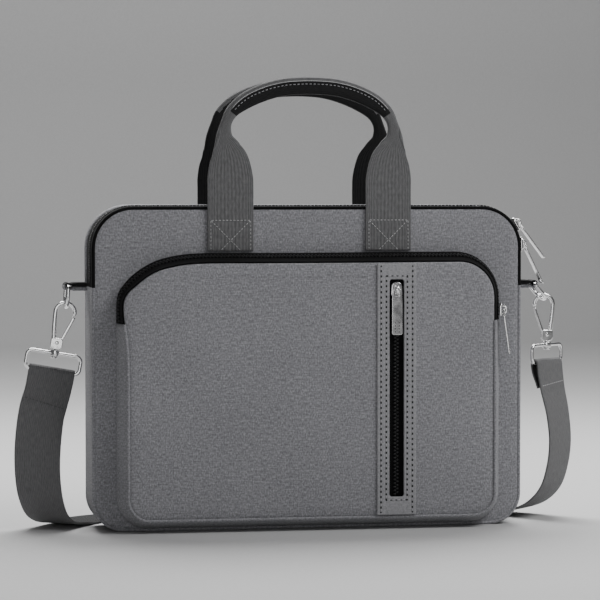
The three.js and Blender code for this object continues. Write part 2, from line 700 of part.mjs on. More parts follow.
// A D of wire hanging from its straight bar, which lies along Y.
function dRingGeometry() {
  const outline = (inset, Kind) => {
    const half = D_WIDTH / 2 - inset;
    const top = WIRE / 2 - inset;
    const bottom = -D_DROP - WIRE / 2 + inset;
    const shoulder = -D_DROP / 2;
    const path = new Kind();
    path.moveTo(half, top);
    path.lineTo(-half, top);
    path.lineTo(-half, shoulder);
    path.absellipse(0, shoulder, half, shoulder - bottom, Math.PI, 2 * Math.PI, false, 0);
    path.closePath();
    return path;
  };
  const shape = outline(0, THREE.Shape);
  shape.holes.push(outline(WIRE, THREE.Path));
  return plate(shape, WIRE / 2, WIRE, RING_BEVEL).rotateZ(Math.PI / 2);
}

// The snap hook's frame: base at the origin, loop above it and towards the bag, drawn for the right side.
function hookGeometry() {
  const loopX = -HOOK_OFFSET;
  const loopZ = HOOK_HEIGHT - HOOK_LOOP;
  const inner = HOOK_LOOP - HOOK_WIRE;
  const base = HOOK_BASE;
  const baseTop = HOOK_BASE_TOP;
  const shape = new THREE.Shape();
  shape.moveTo(-base, 0);
  shape.lineTo(base, 0);
  shape.lineTo(base + 0.4, baseTop);
  shape.lineTo(loopX + HOOK_LOOP - 0.3, loopZ - HOOK_LEG);
  shape.absarc(loopX, loopZ, HOOK_LOOP, 0, HOOK_NOSE, false);
  shape.absarc(loopX, loopZ, inner, HOOK_NOSE, 0, true);
  shape.lineTo(loopX + inner - 0.6, loopZ - HOOK_LEG);
  shape.lineTo(0.6, baseTop + 1.2);
  shape.lineTo(-base, baseTop);
  const frame = plate(shape, HOOK_THICK / 2, HOOK_THICK, 0.6);
  const slot = new THREE.BoxGeometry(GATE_SLOT.width, GATE_THICK + 0.6, GATE_SLOT.height);
  slot.translate(-base, 0, baseTop);
  const hole = pin(GATE_PIN_RADIUS + 0.25, HOOK_THICK + 2).translate(GATE_X, 0, GATE_Z);
  return cut(frame, slot, hole);
}

// The sprung gate: an eye on its pin, and a bar up to the hook's nose.
function gateGeometry() {
  const noseX = -HOOK_OFFSET - HOOK_LOOP + HOOK_WIRE / 2;
  const noseZ = HOOK_HEIGHT - HOOK_LOOP - 4.2;
  const bar = new THREE.Shape();
  bar.moveTo(GATE_X - 1.3, GATE_Z);
  bar.lineTo(GATE_X + 1.3, GATE_Z);
  bar.lineTo(noseX + 1.2, noseZ);
  bar.lineTo(noseX - 1.2, noseZ);
  const blade = plate(bar, GATE_THICK / 2, GATE_THICK);
  const eye = pin(2, GATE_THICK).translate(GATE_X, 0, GATE_Z);
  const hole = pin(GATE_PIN_RADIUS + 0.25, GATE_THICK + 2).translate(GATE_X, 0, GATE_Z);
  return cut(join(blade, eye), hole);
}

const RING_TOP_BAR = -(GAP + BOSS_HEIGHT / 2 + 0.3);

function strapRingGeometry() {
  const middle = RING_TOP_BAR - (RING_HEIGHT - WIRE) / 2;
  const outer = roundedBox(RING_WIDTH, middle - RING_HEIGHT / 2, middle + RING_HEIGHT / 2, 4);
  const innerHeight = RING_HEIGHT / 2 - WIRE;
  outer.holes.push(roundedBox(RING_WIDTH - 2 * WIRE, middle - innerHeight, middle + innerHeight, 1.5));
  const wire = plate(outer, WIRE / 2, WIRE, RING_BEVEL, SMALL_ARC_STEPS);
  const boss = post(BOSS_RADIUS, BOSS_HEIGHT).translate(0, 0, RING_TOP_BAR);
  const hole = post(SWIVEL_RADIUS + 0.3, BOSS_HEIGHT + 4).translate(0, 0, RING_TOP_BAR);
  return cut(join(wire, boss), hole);
}

function swivelGeometry() {
  const headThick = 1.4;
  const bottom = RING_TOP_BAR - BOSS_HEIGHT / 2 - GAP;
  const shaft = post(SWIVEL_RADIUS, -bottom + headThick - GAP);
  shaft.translate(0, 0, (bottom - headThick - GAP) / 2);
  const head = post(SWIVEL_RADIUS + 1, headThick).translate(0, 0, bottom - headThick / 2);
  return join(shaft, head);
}

function makeHardware({ name, side, swing, tilt, yaw }) {
  const bar = new THREE.Vector3(side * (BODY.half + TAB_REACH), HARDWARE_Y, TAB_Z);
  add(`${name}_ring_tab`, tabGeometry(side).translate(...bar.toArray()), CLOTH);
  const dRing = add(`${name}_d_ring`, dRingGeometry(), METAL);
  const angle = THREE.MathUtils.degToRad(swing);
  dRing.position.copy(bar);
  dRing.rotation.y = -side * angle;

  const hang = new THREE.Group();
  hang.position.set(bar.x + side * D_DROP * Math.sin(angle), bar.y, bar.z - D_DROP * Math.cos(angle));
  hang.rotation.y = -side * THREE.MathUtils.degToRad(tilt);
  bag.add(hang);
  const hook = new THREE.Group();
  const bowBelowTop = HOOK_WIRE + GAP + WIRE / 2;
  hook.position.set(side * HOOK_OFFSET, 0, bowBelowTop - HOOK_HEIGHT);
  hang.add(hook);
  const turned = (geometry) => (side < 0 ? geometry.rotateZ(Math.PI) : geometry);
  add(`${name}_hook_frame`, turned(hookGeometry()), METAL, hook);
  add(`${name}_hook_gate`, turned(gateGeometry()), METAL, hook);
  const pinAt = side * GATE_X;
  add(`${name}_gate_pin`, pin(GATE_PIN_RADIUS, HOOK_THICK + 0.6).translate(pinAt, 0, GATE_Z), METAL, hook);
  add(`${name}_swivel_pin`, swivelGeometry(), METAL, hook);
  const ringMesh = add(`${name}_strap_ring`, strapRingGeometry(), METAL, hook);
  ringMesh.rotation.z = THREE.MathUtils.degToRad(yaw);
}

// ---- Shoulder strap ----
const toVectors = (rows) => rows.map((row) => new THREE.Vector3(...row));
const routeCurve = new THREE.CatmullRomCurve3(toVectors(STRAP_ROUTE));
const acrossCurve = new THREE.CatmullRomCurve3(toVectors(STRAP_ACROSS));

// The flat webbing carried along the strap's route.
function webbing() {
  const rings = Array.from({ length: STRAP_STEPS + 1 }, (_, i) => {
    const t = i / STRAP_STEPS;
    const centre = routeCurve.getPoint(t);
    const tangent = routeCurve.getTangent(t);
    const across = acrossCurve.getPoint(t);
    across.addScaledVector(tangent, -across.dot(tangent)).normalize();
    const up = new THREE.Vector3().crossVectors(tangent, across);
    const corners = [[-1, -1], [1, -1], [1, 1], [-1, 1]];
    return corners.map(([a, b]) =>
      centre.clone()
        .addScaledVector(across, (a * WEBBING) / 2)
        .addScaledVector(up, (b * STRAP_THICK) / 2),
    );
  });
  return loft(rings);
}

// The sliding buckle: a frame with a bar across its middle, lying on the strap.
function adjusterGeometry() {
  const windowLength = (ADJUSTER_LENGTH - 3 * ADJUSTER_BAR) / 2;
  const windowWidth = ADJUSTER_WIDTH - 2 * ADJUSTER_BAR;
  const frame = new THREE.BoxGeometry(ADJUSTER_LENGTH, ADJUSTER_WIDTH, ADJUSTER_THICK);
  const window = (side) =>
    new THREE.BoxGeometry(windowLength, windowWidth, 2 * ADJUSTER_THICK).translate(
      (side * (windowLength + ADJUSTER_BAR)) / 2, 0, 0,
    );
  return cut(frame, window(-1), window(1)).translate(0, 0, ADJUSTER_THICK / 2);
}

function makeStrap() {
  add("shoulder_strap", webbing(), WEB);
  const strapTop = STRAP_LIFT + STRAP_THICK / 2;
  const adjuster = adjusterGeometry().translate(ADJUSTER_X, STRAP_LINE_Y, strapTop + GAP);
  add("strap_adjuster", adjuster, METAL);
  const layer = new THREE.BoxGeometry(DOUBLED_LENGTH, WEBBING, STRAP_THICK);
  const end = ADJUSTER_X - ADJUSTER_LENGTH / 2 - GAP;
  layer.translate(end - DOUBLED_LENGTH / 2, STRAP_LINE_Y, strapTop + GAP + STRAP_THICK / 2);
  add("strap_doubled_layer", layer, WEB);
}

makeShell();
makeInside();
makePocket();
makeTrim();
makeSliders();
makeHandle("front", -1);
makeHandle("rear", 1);
SIDES.forEach(makeHardware);
makeStrap();

export default bag;
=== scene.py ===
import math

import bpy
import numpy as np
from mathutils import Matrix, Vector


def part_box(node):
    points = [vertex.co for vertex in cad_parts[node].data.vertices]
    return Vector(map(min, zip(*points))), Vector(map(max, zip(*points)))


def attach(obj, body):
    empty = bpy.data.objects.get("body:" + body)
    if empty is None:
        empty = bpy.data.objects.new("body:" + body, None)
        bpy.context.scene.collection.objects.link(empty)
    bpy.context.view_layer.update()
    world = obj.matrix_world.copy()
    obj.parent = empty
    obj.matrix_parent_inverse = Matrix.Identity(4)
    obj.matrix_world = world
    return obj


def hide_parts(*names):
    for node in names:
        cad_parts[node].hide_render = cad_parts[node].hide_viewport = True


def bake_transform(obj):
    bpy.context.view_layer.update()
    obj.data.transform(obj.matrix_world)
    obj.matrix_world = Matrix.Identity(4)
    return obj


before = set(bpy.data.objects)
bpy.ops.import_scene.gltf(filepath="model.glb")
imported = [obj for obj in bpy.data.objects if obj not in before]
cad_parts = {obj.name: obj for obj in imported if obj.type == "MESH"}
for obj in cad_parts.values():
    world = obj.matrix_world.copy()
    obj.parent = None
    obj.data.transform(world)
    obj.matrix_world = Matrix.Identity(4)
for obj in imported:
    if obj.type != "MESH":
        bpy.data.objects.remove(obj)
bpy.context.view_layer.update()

# %% [markdown]
# # A laptop messenger bag
# The bag is sewn from grey melange cloth over foam. A black zip runs over its top, and a zipped pocket
# sits on its front. It has two webbing handles and a shoulder strap on snap hooks. This script dresses
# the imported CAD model: each soft piece is a surface worked out with numpy, in the place that the CAD
# node gives it. Lengths are written in millimetres, and become metres when a mesh is made.

MM = 0.001


def box(node):
    """The lowest and highest corners of a CAD node, in millimetres."""
    low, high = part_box(node)
    return np.array(low) / MM, np.array(high) / MM


BODY_LOW, BODY_HIGH = box("front_piping")
BACK_Y = box("back_piping")[1][1]
FACE_Y = BODY_LOW[1]
BODY_HALF = BODY_HIGH[0] + 0.12
BODY_TOP = BODY_HIGH[2] + 0.12
print("body", BODY_HALF, BODY_TOP, FACE_Y, BACK_Y)

# %% [markdown]
# ## The camera
# A long lens from a little to the left of the bag, at the height of its top edge. From so far away the
# bag's sides hardly converge. A short lens would bend the outline, so the camera stands back and uses
# a narrow view instead.

# %% The camera
AZIMUTH = math.radians(-10.235)
ELEVATION = math.radians(2.26)
DISTANCE = 2400
TARGET = np.array([-2.85, 0.5, 187.6])
TOWARDS = np.array([
    -math.sin(AZIMUTH) * math.cos(ELEVATION),
    math.cos(AZIMUTH) * math.cos(ELEVATION),
    -math.sin(ELEVATION),
])
camera = bpy.data.objects.new("camera", bpy.data.cameras.new("camera"))
camera.data.lens = 172.66
camera.data.sensor_width = 36
camera.data.clip_end = 50
camera.location = (TARGET - DISTANCE * TOWARDS) * MM
camera.rotation_euler = (math.pi / 2 - ELEVATION, 0, AZIMUTH)
bpy.context.collection.objects.link(camera)
bpy.context.scene.camera = camera
print("camera at", [round(v, 3) for v in camera.location])

# %% [markdown]
# ## Making a mesh from a grid
# Most pieces of a bag are strips and panels: a section carried along a seam. On a grid of rows and
# columns such a surface is one array, and its faces follow from the grid's numbering. The same
# function closes the ends and gives every piece a UV map in metres, so that a weave keeps its size.


# %% Grids
def grid_faces(rows, columns, wrap_rows, wrap_columns):
    """Quads between neighbouring rows and columns, as vertex numbers and as places on the grid."""
    r = np.arange(rows if wrap_rows else rows - 1)
    c = np.arange(columns if wrap_columns else columns - 1)
    i, j = (a.ravel() for a in np.meshgrid(r, c, indexing="ij"))
    places = np.stack([[i, j], [i, j + 1], [i + 1, j + 1], [i + 1, j]]).transpose(2, 0, 1)
    numbers = (places[:, :, 0] % rows) * columns + places[:, :, 1] % columns
    return numbers, places


def running_length(grid, axis):
    """Distance along one direction of the grid, averaged over the other, with the closing step last."""
    closed = np.concatenate([grid, np.take(grid, [0], axis)], axis)
    steps = np.linalg.norm(np.diff(closed, axis=axis), axis=-1).mean(1 - axis)
    return np.concatenate([[0], np.cumsum(steps)])


def mesh_piece(name, points, faces, uv=None):
    """A smooth-shaded object from points in millimetres and arrays of faces, turned so that it faces outwards.

    Each array holds faces with one number of corners, and uv holds a pair for every corner of every face.
    """
    volume = 0.0
    for f in faces:
        a, b, c, d = (points[f[:, k]] for k in (0, 1, 2, -1))
        volume += (np.cross(b, c) * a).sum() + (np.cross(c, d) * a).sum() * (f.shape[1] == 4)
    if volume < 0:
        faces = [f[:, ::-1] for f in faces]
        uv = None if uv is None else [pair[:, ::-1] for pair in uv]
    mesh = bpy.data.meshes.new(name)
    mesh.from_pydata((points * MM).tolist(), [], [corners for f in faces for corners in f.tolist()])
    mesh.polygons.foreach_set("use_smooth", np.ones(len(mesh.polygons), bool))
    if uv is not None:
        flat = np.concatenate([pair.reshape(-1, 2) for pair in uv])
        mesh.uv_layers.new(name="UVMap").data.foreach_set("uv", flat.astype(np.float32).ravel())
    mesh.update()
    piece = bpy.data.objects.new(name, mesh)
    bpy.context.collection.objects.link(piece)
    return piece


def surface(name, grid, wrap_rows=False, wrap_columns=True, uv=None):
    """A closed piece from a grid of points. Where the rows don't wrap, a fan closes each end.

    The UV map is the distance across the columns and along the rows in metres, or the given pair of
    grids in millimetres.
    """
    rows, columns = grid.shape[:2]
    quads, places = grid_faces(rows, columns, wrap_rows, wrap_columns)
    points = grid.reshape(-1, 3)
    if uv is None:
        around, along = running_length(grid, 1), running_length(grid, 0)
        faces, flat = [quads], [np.stack([around[places[:, :, 1]], along[places[:, :, 0]]], -1) * MM]
    else:
        faces, flat = [quads], [np.stack([u.ravel()[quads] for u in uv], -1) * MM]
    if not wrap_rows:
        column = np.arange(columns)
        for row, end in ((0, len(points)), (rows - 1, len(points) + 1)):
            rim = row * columns + column
            then = row * columns + (column + 1) % columns
            fan = np.stack([rim, np.full(columns, end), then], -1)
            faces.append(fan if row == 0 else fan[:, ::-1])
        points = np.concatenate([points, grid[[0, -1]].mean(1)])
        flat += [points[f][:, :, [0, 2]] * MM for f in faces[1:]]
    return mesh_piece(name, points, faces, flat)


# %% [markdown]
# ## Curves through points
# The shoulder strap and the handles follow smooth lines through a few chosen points. A centripetal
# Catmull-Rom curve passes through all of them without loops, and the CAD model uses the same one, so
# the cloth lies exactly where its solid does.


# %% Curves
def through(points, count):
    """Points evenly spread in the parameter of a centripetal Catmull-Rom curve, and its directions.

    Between two neighbours the curve is a cubic whose end slopes weigh the chords by the square root
    of their lengths. Each end is continued by its own chord.
    """
    p = np.asarray(points, float)
    p = np.concatenate([2 * p[:1] - p[1:2], p, 2 * p[-1:] - p[-2:-1]])
    t = np.linspace(0, len(points) - 1, count)
    i = np.minimum(t.astype(int), len(points) - 2)
    w = (t - i)[:, None]
    x0, x1, x2, x3 = p[i], p[i + 1], p[i + 2], p[i + 3]
    d0, d1, d2 = (np.maximum(np.linalg.norm(b - a, axis=1), 1e-8)[:, None] ** 0.5
                  for a, b in ((x0, x1), (x1, x2), (x2, x3)))
    s1 = ((x1 - x0) / d0 - (x2 - x0) / (d0 + d1) + (x2 - x1) / d1) * d1
    s2 = ((x2 - x1) / d1 - (x3 - x1) / (d1 + d2) + (x3 - x2) / d2) * d1
    c2 = -3 * x1 + 3 * x2 - 2 * s1 - s2
    c3 = 2 * x1 - 2 * x2 + s1 + s2
    place = x1 + s1 * w + c2 * w**2 + c3 * w**3
    slope = s1 + 2 * c2 * w + 3 * c3 * w**2
    return place, slope / np.maximum(np.linalg.norm(slope, axis=1), 1e-9)[:, None]


def section_ring(width, thickness, squareness, count=28):
    """A flattened oval: cosine and sine, each raised to 2/squareness, so 2 is an oval and 8 nearly a box."""
    a = np.linspace(0, 2 * np.pi, count, endpoint=False)
    u, v = np.cos(a), np.sin(a)
    power = 2 / np.asarray(squareness, float)[..., None]
    u = np.sign(u) * np.abs(u) ** power * np.asarray(width, float)[..., None] / 2
    v = np.sign(v) * np.abs(v) ** power * np.asarray(thickness, float)[..., None] / 2
    return u, v


def unit(vectors):
    """The vectors, each made one long."""
    return vectors / np.linalg.norm(vectors, axis=-1, keepdims=True)


# %% [markdown]
# ## Colours and nodes
# Colours are written as sRGB hex values, as they are read off a screen, and a shader wants linear
# light. One helper adds a node with its settings and its links, which keeps a material readable.


# %% Material helpers
def linear(colour):
    """sRGB hex to linear RGBA: the display curve undone, channel by channel."""
    c = np.array([int(colour[k:k + 2], 16) for k in (1, 3, 5)]) / 255
    low = c / 12.92
    high = ((c + 0.055) / 1.055) ** 2.4
    return (*np.where(c <= 0.04045, low, high).tolist(), 1.0)


def add(tree, kind, inputs=(), **settings):
    """Adds a node: its properties are the settings, and inputs are values or other nodes' outputs."""
    made = tree.nodes.new("ShaderNode" + kind)
    for key, value in settings.items():
        setattr(made, key, value)
    for socket, value in dict(inputs).items():
        if isinstance(value, bpy.types.NodeSocket):
            tree.links.new(value, made.inputs[socket])
        else:
            made.inputs[socket].default_value = value
    return made


def start_material(name, **shader):
    """An empty material with its shader's constants set, and the tree and the shader to build on."""
    material = bpy.data.materials.new(name)
    material.use_nodes = True
    tree = material.node_tree
    principled = tree.nodes["Principled BSDF"]
    for socket, value in shader.items():
        principled.inputs[socket.replace("_", " ")].default_value = value
    return material, tree, principled


def colour_ramp(tree, factor, stops):
    """A ramp through (place, hex colour) stops."""
    ramp = add(tree, "ValToRGB", {"Fac": factor})
    elements = ramp.color_ramp.elements
    while len(elements) < len(stops):
        elements.new(0.5)
    for element, (place, colour) in zip(elements, stops):
        element.position = place
        element.color = linear(colour)
    return ramp.outputs["Color"]


def tint(tree, shader, level, stops):
    """The base colour from a ramp over a level between 0 and 1."""
    tree.links.new(colour_ramp(tree, level, stops), shader.inputs["Base Color"])


def relief(tree, shader, height, strength, distance):
    """Bump from a height. The distance is in metres, and a negative one turns hills into hollows."""
    bump = add(tree, "Bump", {"Height": height, "Strength": strength, "Distance": distance})
    tree.links.new(bump.outputs[0], shader.inputs["Normal"])


def noise(tree, place, scale, detail, **more):
    """The level of a noise texture at a place."""
    return add(tree, "TexNoise", {"Vector": place, "Scale": scale, "Detail": detail, **more}).outputs["Fac"]


WAVE_UNIT = 0.314  # a wave texture of this scale repeats once in a unit of its coordinates


def ridges(tree, place, direction, distortion):
    """Even ridges across one direction, one to a unit of the coordinates."""
    wave = add(tree, "TexWave", {"Vector": place, "Scale": WAVE_UNIT, "Distortion": distortion},
               wave_type="BANDS", bands_direction=direction)
    return wave.outputs["Fac"]


def stretched(tree, place, across, along):
    """Coordinates scaled so that a texture's unit is this wide and this long, in metres."""
    return add(tree, "Mapping", {"Vector": place, "Scale": (1 / across, 1 / along, 1)}).outputs[0]


def maths(tree, operation, *values):
    """A maths node's result."""
    return add(tree, "Math", dict(enumerate(values)), operation=operation).outputs[0]


# %% [markdown]
# ## Woven melange polyester
# The bag's cloth is woven from yarns that mix light and dark fibres, so thin streaks run along the
# weft. Noise stretched along one direction gives the streaks, and two sets of ribs at right angles
# give the weave. Real yarns here are 0.4 mm apart; they are drawn 0.9 mm apart so that they show.


# %% The cloth
YARN = 0.9 * MM
STREAK = (5.5 * MM, 1.0 * MM)
FLECK = (1.1 * MM, 2.2 * MM)


def melange_cloth(name, dark, middle, light):
    """Melange cloth: streaky yarn colours, a plain weave in relief and slow uneven shade."""
    material, tree, shader = start_material(
        name, Roughness=0.9, Specular_IOR_Level=0.22, Sheen_Weight=0.18, Sheen_Roughness=0.6)
    place = add(tree, "UVMap", uv_map="UVMap").outputs["UV"]
    streaks = noise(tree, stretched(tree, place, *STREAK), 1.0, 3.0, Roughness=0.72)
    flecks = noise(tree, stretched(tree, place, *FLECK), 1.0, 1.0)
    slow = noise(tree, place, 16.0, 1.0)
    mixed = maths(tree, "ADD", streaks, flecks)
    uneven = maths(tree, "MULTIPLY_ADD", slow, 0.07, -0.035)
    level = maths(tree, "MULTIPLY_ADD", mixed, 0.5, uneven)
    tint(tree, shader, level, [(0.32, dark), (0.5, middle), (0.68, light)])
    yarns = stretched(tree, place, YARN, YARN)
    weave = maths(tree, "MULTIPLY", ridges(tree, yarns, "X", 0.6), ridges(tree, yarns, "Y", 0.6))
    relief(tree, shader, maths(tree, "ADD", streaks, weave), 0.5, 0.35 * MM)
    return material


CLOTH = melange_cloth("woven_melange_polyester", "#66666a", "#86868a", "#a8a8ac")
print("cloth yarns every", YARN / MM, "mm")

# %% [markdown]
# ## Webbing
# The straps are heavy woven tape, 38 mm wide: grey on the outside, black where the inside shows.
# Webbing has ribs along its length and fine cross threads, so two wave textures on the UV map give
# both. The map runs across the strap in U and along it in V.


# %% The webbing
FIBRE = (0.7 * MM, 5 * MM)


def woven_tape(name, dark, light, rib, pick, roughness=0.85, depth=0.35, sheen=0.15):
    """Woven tape: lengthwise ribs, cross picks and a little fibre noise in colour and relief."""
    material, tree, shader = start_material(
        name, Roughness=roughness, Specular_IOR_Level=0.2, Sheen_Weight=sheen, Sheen_Roughness=0.5)
    place = add(tree, "UVMap", uv_map="UVMap").outputs["UV"]
    scaled = stretched(tree, place, rib, pick)
    weave = maths(tree, "ADD", ridges(tree, scaled, "X", 0.8), ridges(tree, scaled, "Y", 1.5))
    fibre = noise(tree, stretched(tree, place, *FIBRE), 1.0, 2.0)
    level = maths(tree, "MULTIPLY_ADD", weave, 0.2, fibre)
    tint(tree, shader, level, [(0.45, dark), (0.95, light)])
    relief(tree, shader, weave, 0.55, depth * MM)
    return material


WEBBING = woven_tape("woven_polyester_webbing", "#575758", "#717172", 1.5 * MM, 1.0 * MM)
WEBBING_INSIDE = woven_tape("webbing_black_inside", "#121213", "#1f1f20", 1.5 * MM, 1.0 * MM)
ZIP_TAPE = woven_tape("polyester_zip_tape", "#060607", "#0f0f10", 1.5 * MM, 1.0 * MM, 0.95, 0.2, 0.02)
LINING = woven_tape("plain_nylon_lining", "#3d3e43", "#55565c", 0.9 * MM, 0.9 * MM, 0.7, 0.1)

# %% [markdown]
# ## Metal, coil, leather and thread
# The fittings are die-cast zinc with a bright nickel plate: a mirror-like metal whose faint smudges
# show as uneven gloss. The zip's coil is dull black nylon. The trim strip is split leather with a
# pressed grain, so cells of a Voronoi texture, 0.9 mm across, make its relief.


# %% The hard finishes
def smudged_nickel(name, colour, low, high):
    """Nickel plate: the gloss moves between two roughness values in patches a few millimetres wide."""
    material, tree, shader = start_material(name, Metallic=1.0)
    shader.inputs["Base Color"].default_value = linear(colour)
    place = add(tree, "TexCoord").outputs["Object"]
    gloss = add(tree, "MapRange", {"Value": noise(tree, place, 240.0, 3.0), "From Min": 0.3, "From Max": 0.7,
                                   "To Min": low, "To Max": high})
    tree.links.new(gloss.outputs[0], shader.inputs["Roughness"])
    relief(tree, shader, noise(tree, place, 900.0, 1.0), 0.06, 0.2 * MM)
    return material


def grained_leather(name, dark, light, grain):
    """Pressed leather: rounded cells in relief, and the colour a little darker in the creases between them as
    painted shade.
    """
    material, tree, shader = start_material(name, Roughness=0.52, Specular_IOR_Level=0.4)
    place = add(tree, "TexCoord").outputs["Object"]
    cells = add(tree, "TexVoronoi", {"Vector": place, "Scale": 1 / grain}, feature="SMOOTH_F1")
    fine = noise(tree, place, 420.0, 4.0)
    level = maths(tree, "MULTIPLY_ADD", cells.outputs["Distance"], 0.5, fine)
    # painted shade: the ramp turns darker where the cells meet, in the creases
    tint(tree, shader, level, [(0.45, light), (0.95, dark)])
    relief(tree, shader, level, 0.4, -0.25 * MM)
    return material


def speckled(name, dark, light, grain, roughness, depth, sheen=0.0):
    """A matt stuff with fine noise in its colour and relief: thread, foam, moulded board or nylon coil."""
    material, tree, shader = start_material(name, Roughness=roughness, Sheen_Weight=sheen)
    place = add(tree, "TexCoord").outputs["Object"]
    grains = noise(tree, place, 1 / grain, 3.0)
    tint(tree, shader, grains, [(0.35, dark), (0.65, light)])
    relief(tree, shader, grains, 0.4, depth * MM)
    return material


NICKEL = smudged_nickel("bright_nickel_plate", "#f0f0f0", 0.12, 0.26)
LEATHER = grained_leather("grained_split_leather", "#808083", "#9c9c9f", 0.9 * MM)
COIL = speckled("black_nylon_coil", "#0b0b0c", "#161617", 1.2 * MM, 0.42, 0.05)
THREAD = speckled("light_sewing_thread", "#9a9a9b", "#c4c4c5", 0.5 * MM, 0.7, 0.1, 0.2)
GREY_THREAD = speckled("grey_sewing_thread", "#8c8c8f", "#aeaeb1", 0.5 * MM, 0.75, 0.1, 0.2)
# painted shade: a darker copy of the sewing thread, for the stitches on the left half of the strap, which lies
# in shade
SHADED_THREAD = speckled("shaded_copy_of_sewing_thread", "#3c3c3d", "#525253", 0.5 * MM, 0.75, 0.1, 0.1)
# painted shade: nearly black domes stand in for the shadow inside pricked needle holes
NEEDLE_HOLE_SHADE = speckled("painted_needle_hole_shade", "#101011", "#1e1e1f", 0.5 * MM, 0.95, 0.05)
FOAM = speckled("polyethylene_foam", "#cfcdc5", "#e4e2da", 1.6 * MM, 0.95, 0.3)
# painted shade: small dark domes stand in for the shadow inside the pits stamped in each puller
PULLER_PIT_SHADE = speckled("painted_pit_shade", "#1b1b1c", "#2a2a2b", 0.5 * MM, 0.5, 0.02)
BOARD = speckled("moulded_board", "#28282a", "#363638", 2.0 * MM, 0.6, 0.1)
for made in (NICKEL, LEATHER, COIL, THREAD):
    print("material", made.name)


# %% Finishing a piece
def finish(piece, material, slot, body, *nodes):
    """Gives a piece its material, the body it rides on and the CAD nodes it stands for. The slot is not used.
    """
    for m in material if isinstance(material, (list, tuple)) else [material]:
        piece.data.materials.append(m)
    if body:
        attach(piece, body)
    if nodes:
        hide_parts(*nodes)
    return piece


def two_tone(piece, first, second, is_second):
    """Two materials on one piece: the second on the faces marked, the first on the rest and on the ends."""
    for material in (first, second):
        piece.data.materials.append(material)
    index = np.zeros(len(piece.data.polygons), np.int32)
    index[:len(is_second)] = is_second
    piece.data.polygons.foreach_set("material_index", index)


# %% [markdown]
# ## The shoulder strap
# The strap hangs from the ring on each snap hook, turns on the floor and lies flat behind the bag,
# where its sliding buckle joins the two halves. Each half is a flat cord with a known length. The end
# of each half goes over the ring's bar and is sewn back on itself.

# %% The strap's route
STRAP_WIDTH = 38
STRAP_THICK = 1.8
STRAP_ROUTE = [
    (-217.8, 4.9, 97), (-213.4, 5.4, 113), (-210.9, 6.7, 124.5), (-209.9, 7.3, 130.3),
    (-209.55, 6.5, 132.3), (-209.4, 4.5, 133.1), (-209.55, 2.5, 132.3), (-209.9, 1.7, 130.3),
    (-210.9, 2.1, 124.5), (-213.6, 2.5, 113), (-218.4, 1.3, 97), (-222, -1, 70),
    (-222.4, -2.5, 46), (-220, -3.5, 27), (-214.5, 2, 12.5), (-206, 14, 4.8),
    (-194, 31, 2.2), (-178, 51, 1.8), (-155, 67, 1.8), (-125, 74, 1.8),
    (-60, 75, 1.8), (10, 75, 1.8), (80, 75, 1.8), (125, 73, 1.8),
    (154, 64, 1.8), (177, 50, 2.4), (194, 36, 5.5), (207, 22, 13),
    (216, 10, 27), (220.5, 5, 45), (222, 2, 66), (219.6, 1.1, 90),
    (215, 1.3, 112), (213, 1.9, 126), (212.47, 2.42, 133), (211.95, 3, 135),
    (210.6, 4.5, 135.8), (209.25, 6, 135), (208.73, 6.58, 133), (209.3, 6.1, 126),
    (212.6, 4, 114), (216.6, 4.1, 96),
]
STRAP_ACROSS = [
    (0.99, -0.02, -0.1), (0.99, 0, -0.15), *[(0.985, 0, -0.174)] * 7, (0.99, 0, -0.14),
    (1, -0.03, -0.08), (0.98, -0.15, 0), (0.95, -0.3, 0), (0.91, -0.42, 0),
    (0.87, -0.5, 0), (0.83, -0.56, 0), (0.81, -0.58, 0), (0.7, -0.71, 0),
    (0.42, -0.91, 0), (0.12, -0.99, 0), *[(0, -1, 0)] * 3, (-0.2, -0.98, 0),
    (-0.48, -0.88, 0), (-0.61, -0.79, 0), (-0.67, -0.74, 0), *[(-0.68, -0.73, 0)] * 4,
    (-0.69, -0.72, 0), (-0.72, -0.69, 0), *[(-0.743, -0.669, 0)] * 7, (-0.73, -0.68, 0),
    (-0.7, -0.71, 0),
]
LEFT_BAR, BUCKLE, RIGHT_BAR = 5, 21, 36  # the points over the left ring, in the buckle, over the right ring
POINT_STEPS = 14
route, heading = through(STRAP_ROUTE, (len(STRAP_ROUTE) - 1) * POINT_STEPS + 1)
across = through(STRAP_ACROSS, len(route))[0]
across = unit(across - (across * heading).sum(1)[:, None] * heading)
outwards = np.cross(heading, across)
print("strap is", round(np.linalg.norm(np.diff(route, axis=0), axis=1).sum()), "mm long")


# %% Webbing along the route
def webbing_strip(name, rows, width=STRAP_WIDTH, thick=STRAP_THICK, lift=0.0):
    """A flat oval section carried along rows of the strap's route: centre + u across + v outwards."""
    u, v = section_ring(np.full(len(rows), width), np.full(len(rows), thick), np.full(len(rows), 9.0))
    centre = route[rows] + lift * outwards[rows]
    grid = centre[:, None] + u[..., None] * across[rows][:, None] + v[..., None] * outwards[rows][:, None]
    strip = surface(name, grid)
    inside = (v[0] + np.roll(v[0], -1)) < -0.5 * thick
    two_tone(strip, WEBBING, WEBBING_INSIDE, np.tile(inside, len(rows) - 1))
    return strip


def rows_between(first, last):
    """The route's rows from one of its points to another."""
    return np.arange(first * POINT_STEPS, last * POINT_STEPS + 1)


left_rows = rows_between(LEFT_BAR, BUCKLE)
right_rows = rows_between(BUCKLE, RIGHT_BAR)[::-1]
strap_left = webbing_strip("strap_left_half", left_rows)
strap_right = webbing_strip("strap_right_half", right_rows[::-1])
fold_left = webbing_strip("strap_left_fold", rows_between(0, LEFT_BAR))
fold_right = webbing_strip("strap_right_fold", rows_between(RIGHT_BAR, len(STRAP_ROUTE) - 2))
for pieces, rows, swing in (((strap_left, fold_left), left_rows, "left_swing"),
                            ((strap_right, fold_right), right_rows, "right_swing")):
    for piece in pieces:
        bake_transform(piece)
        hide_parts("shoulder_strap")


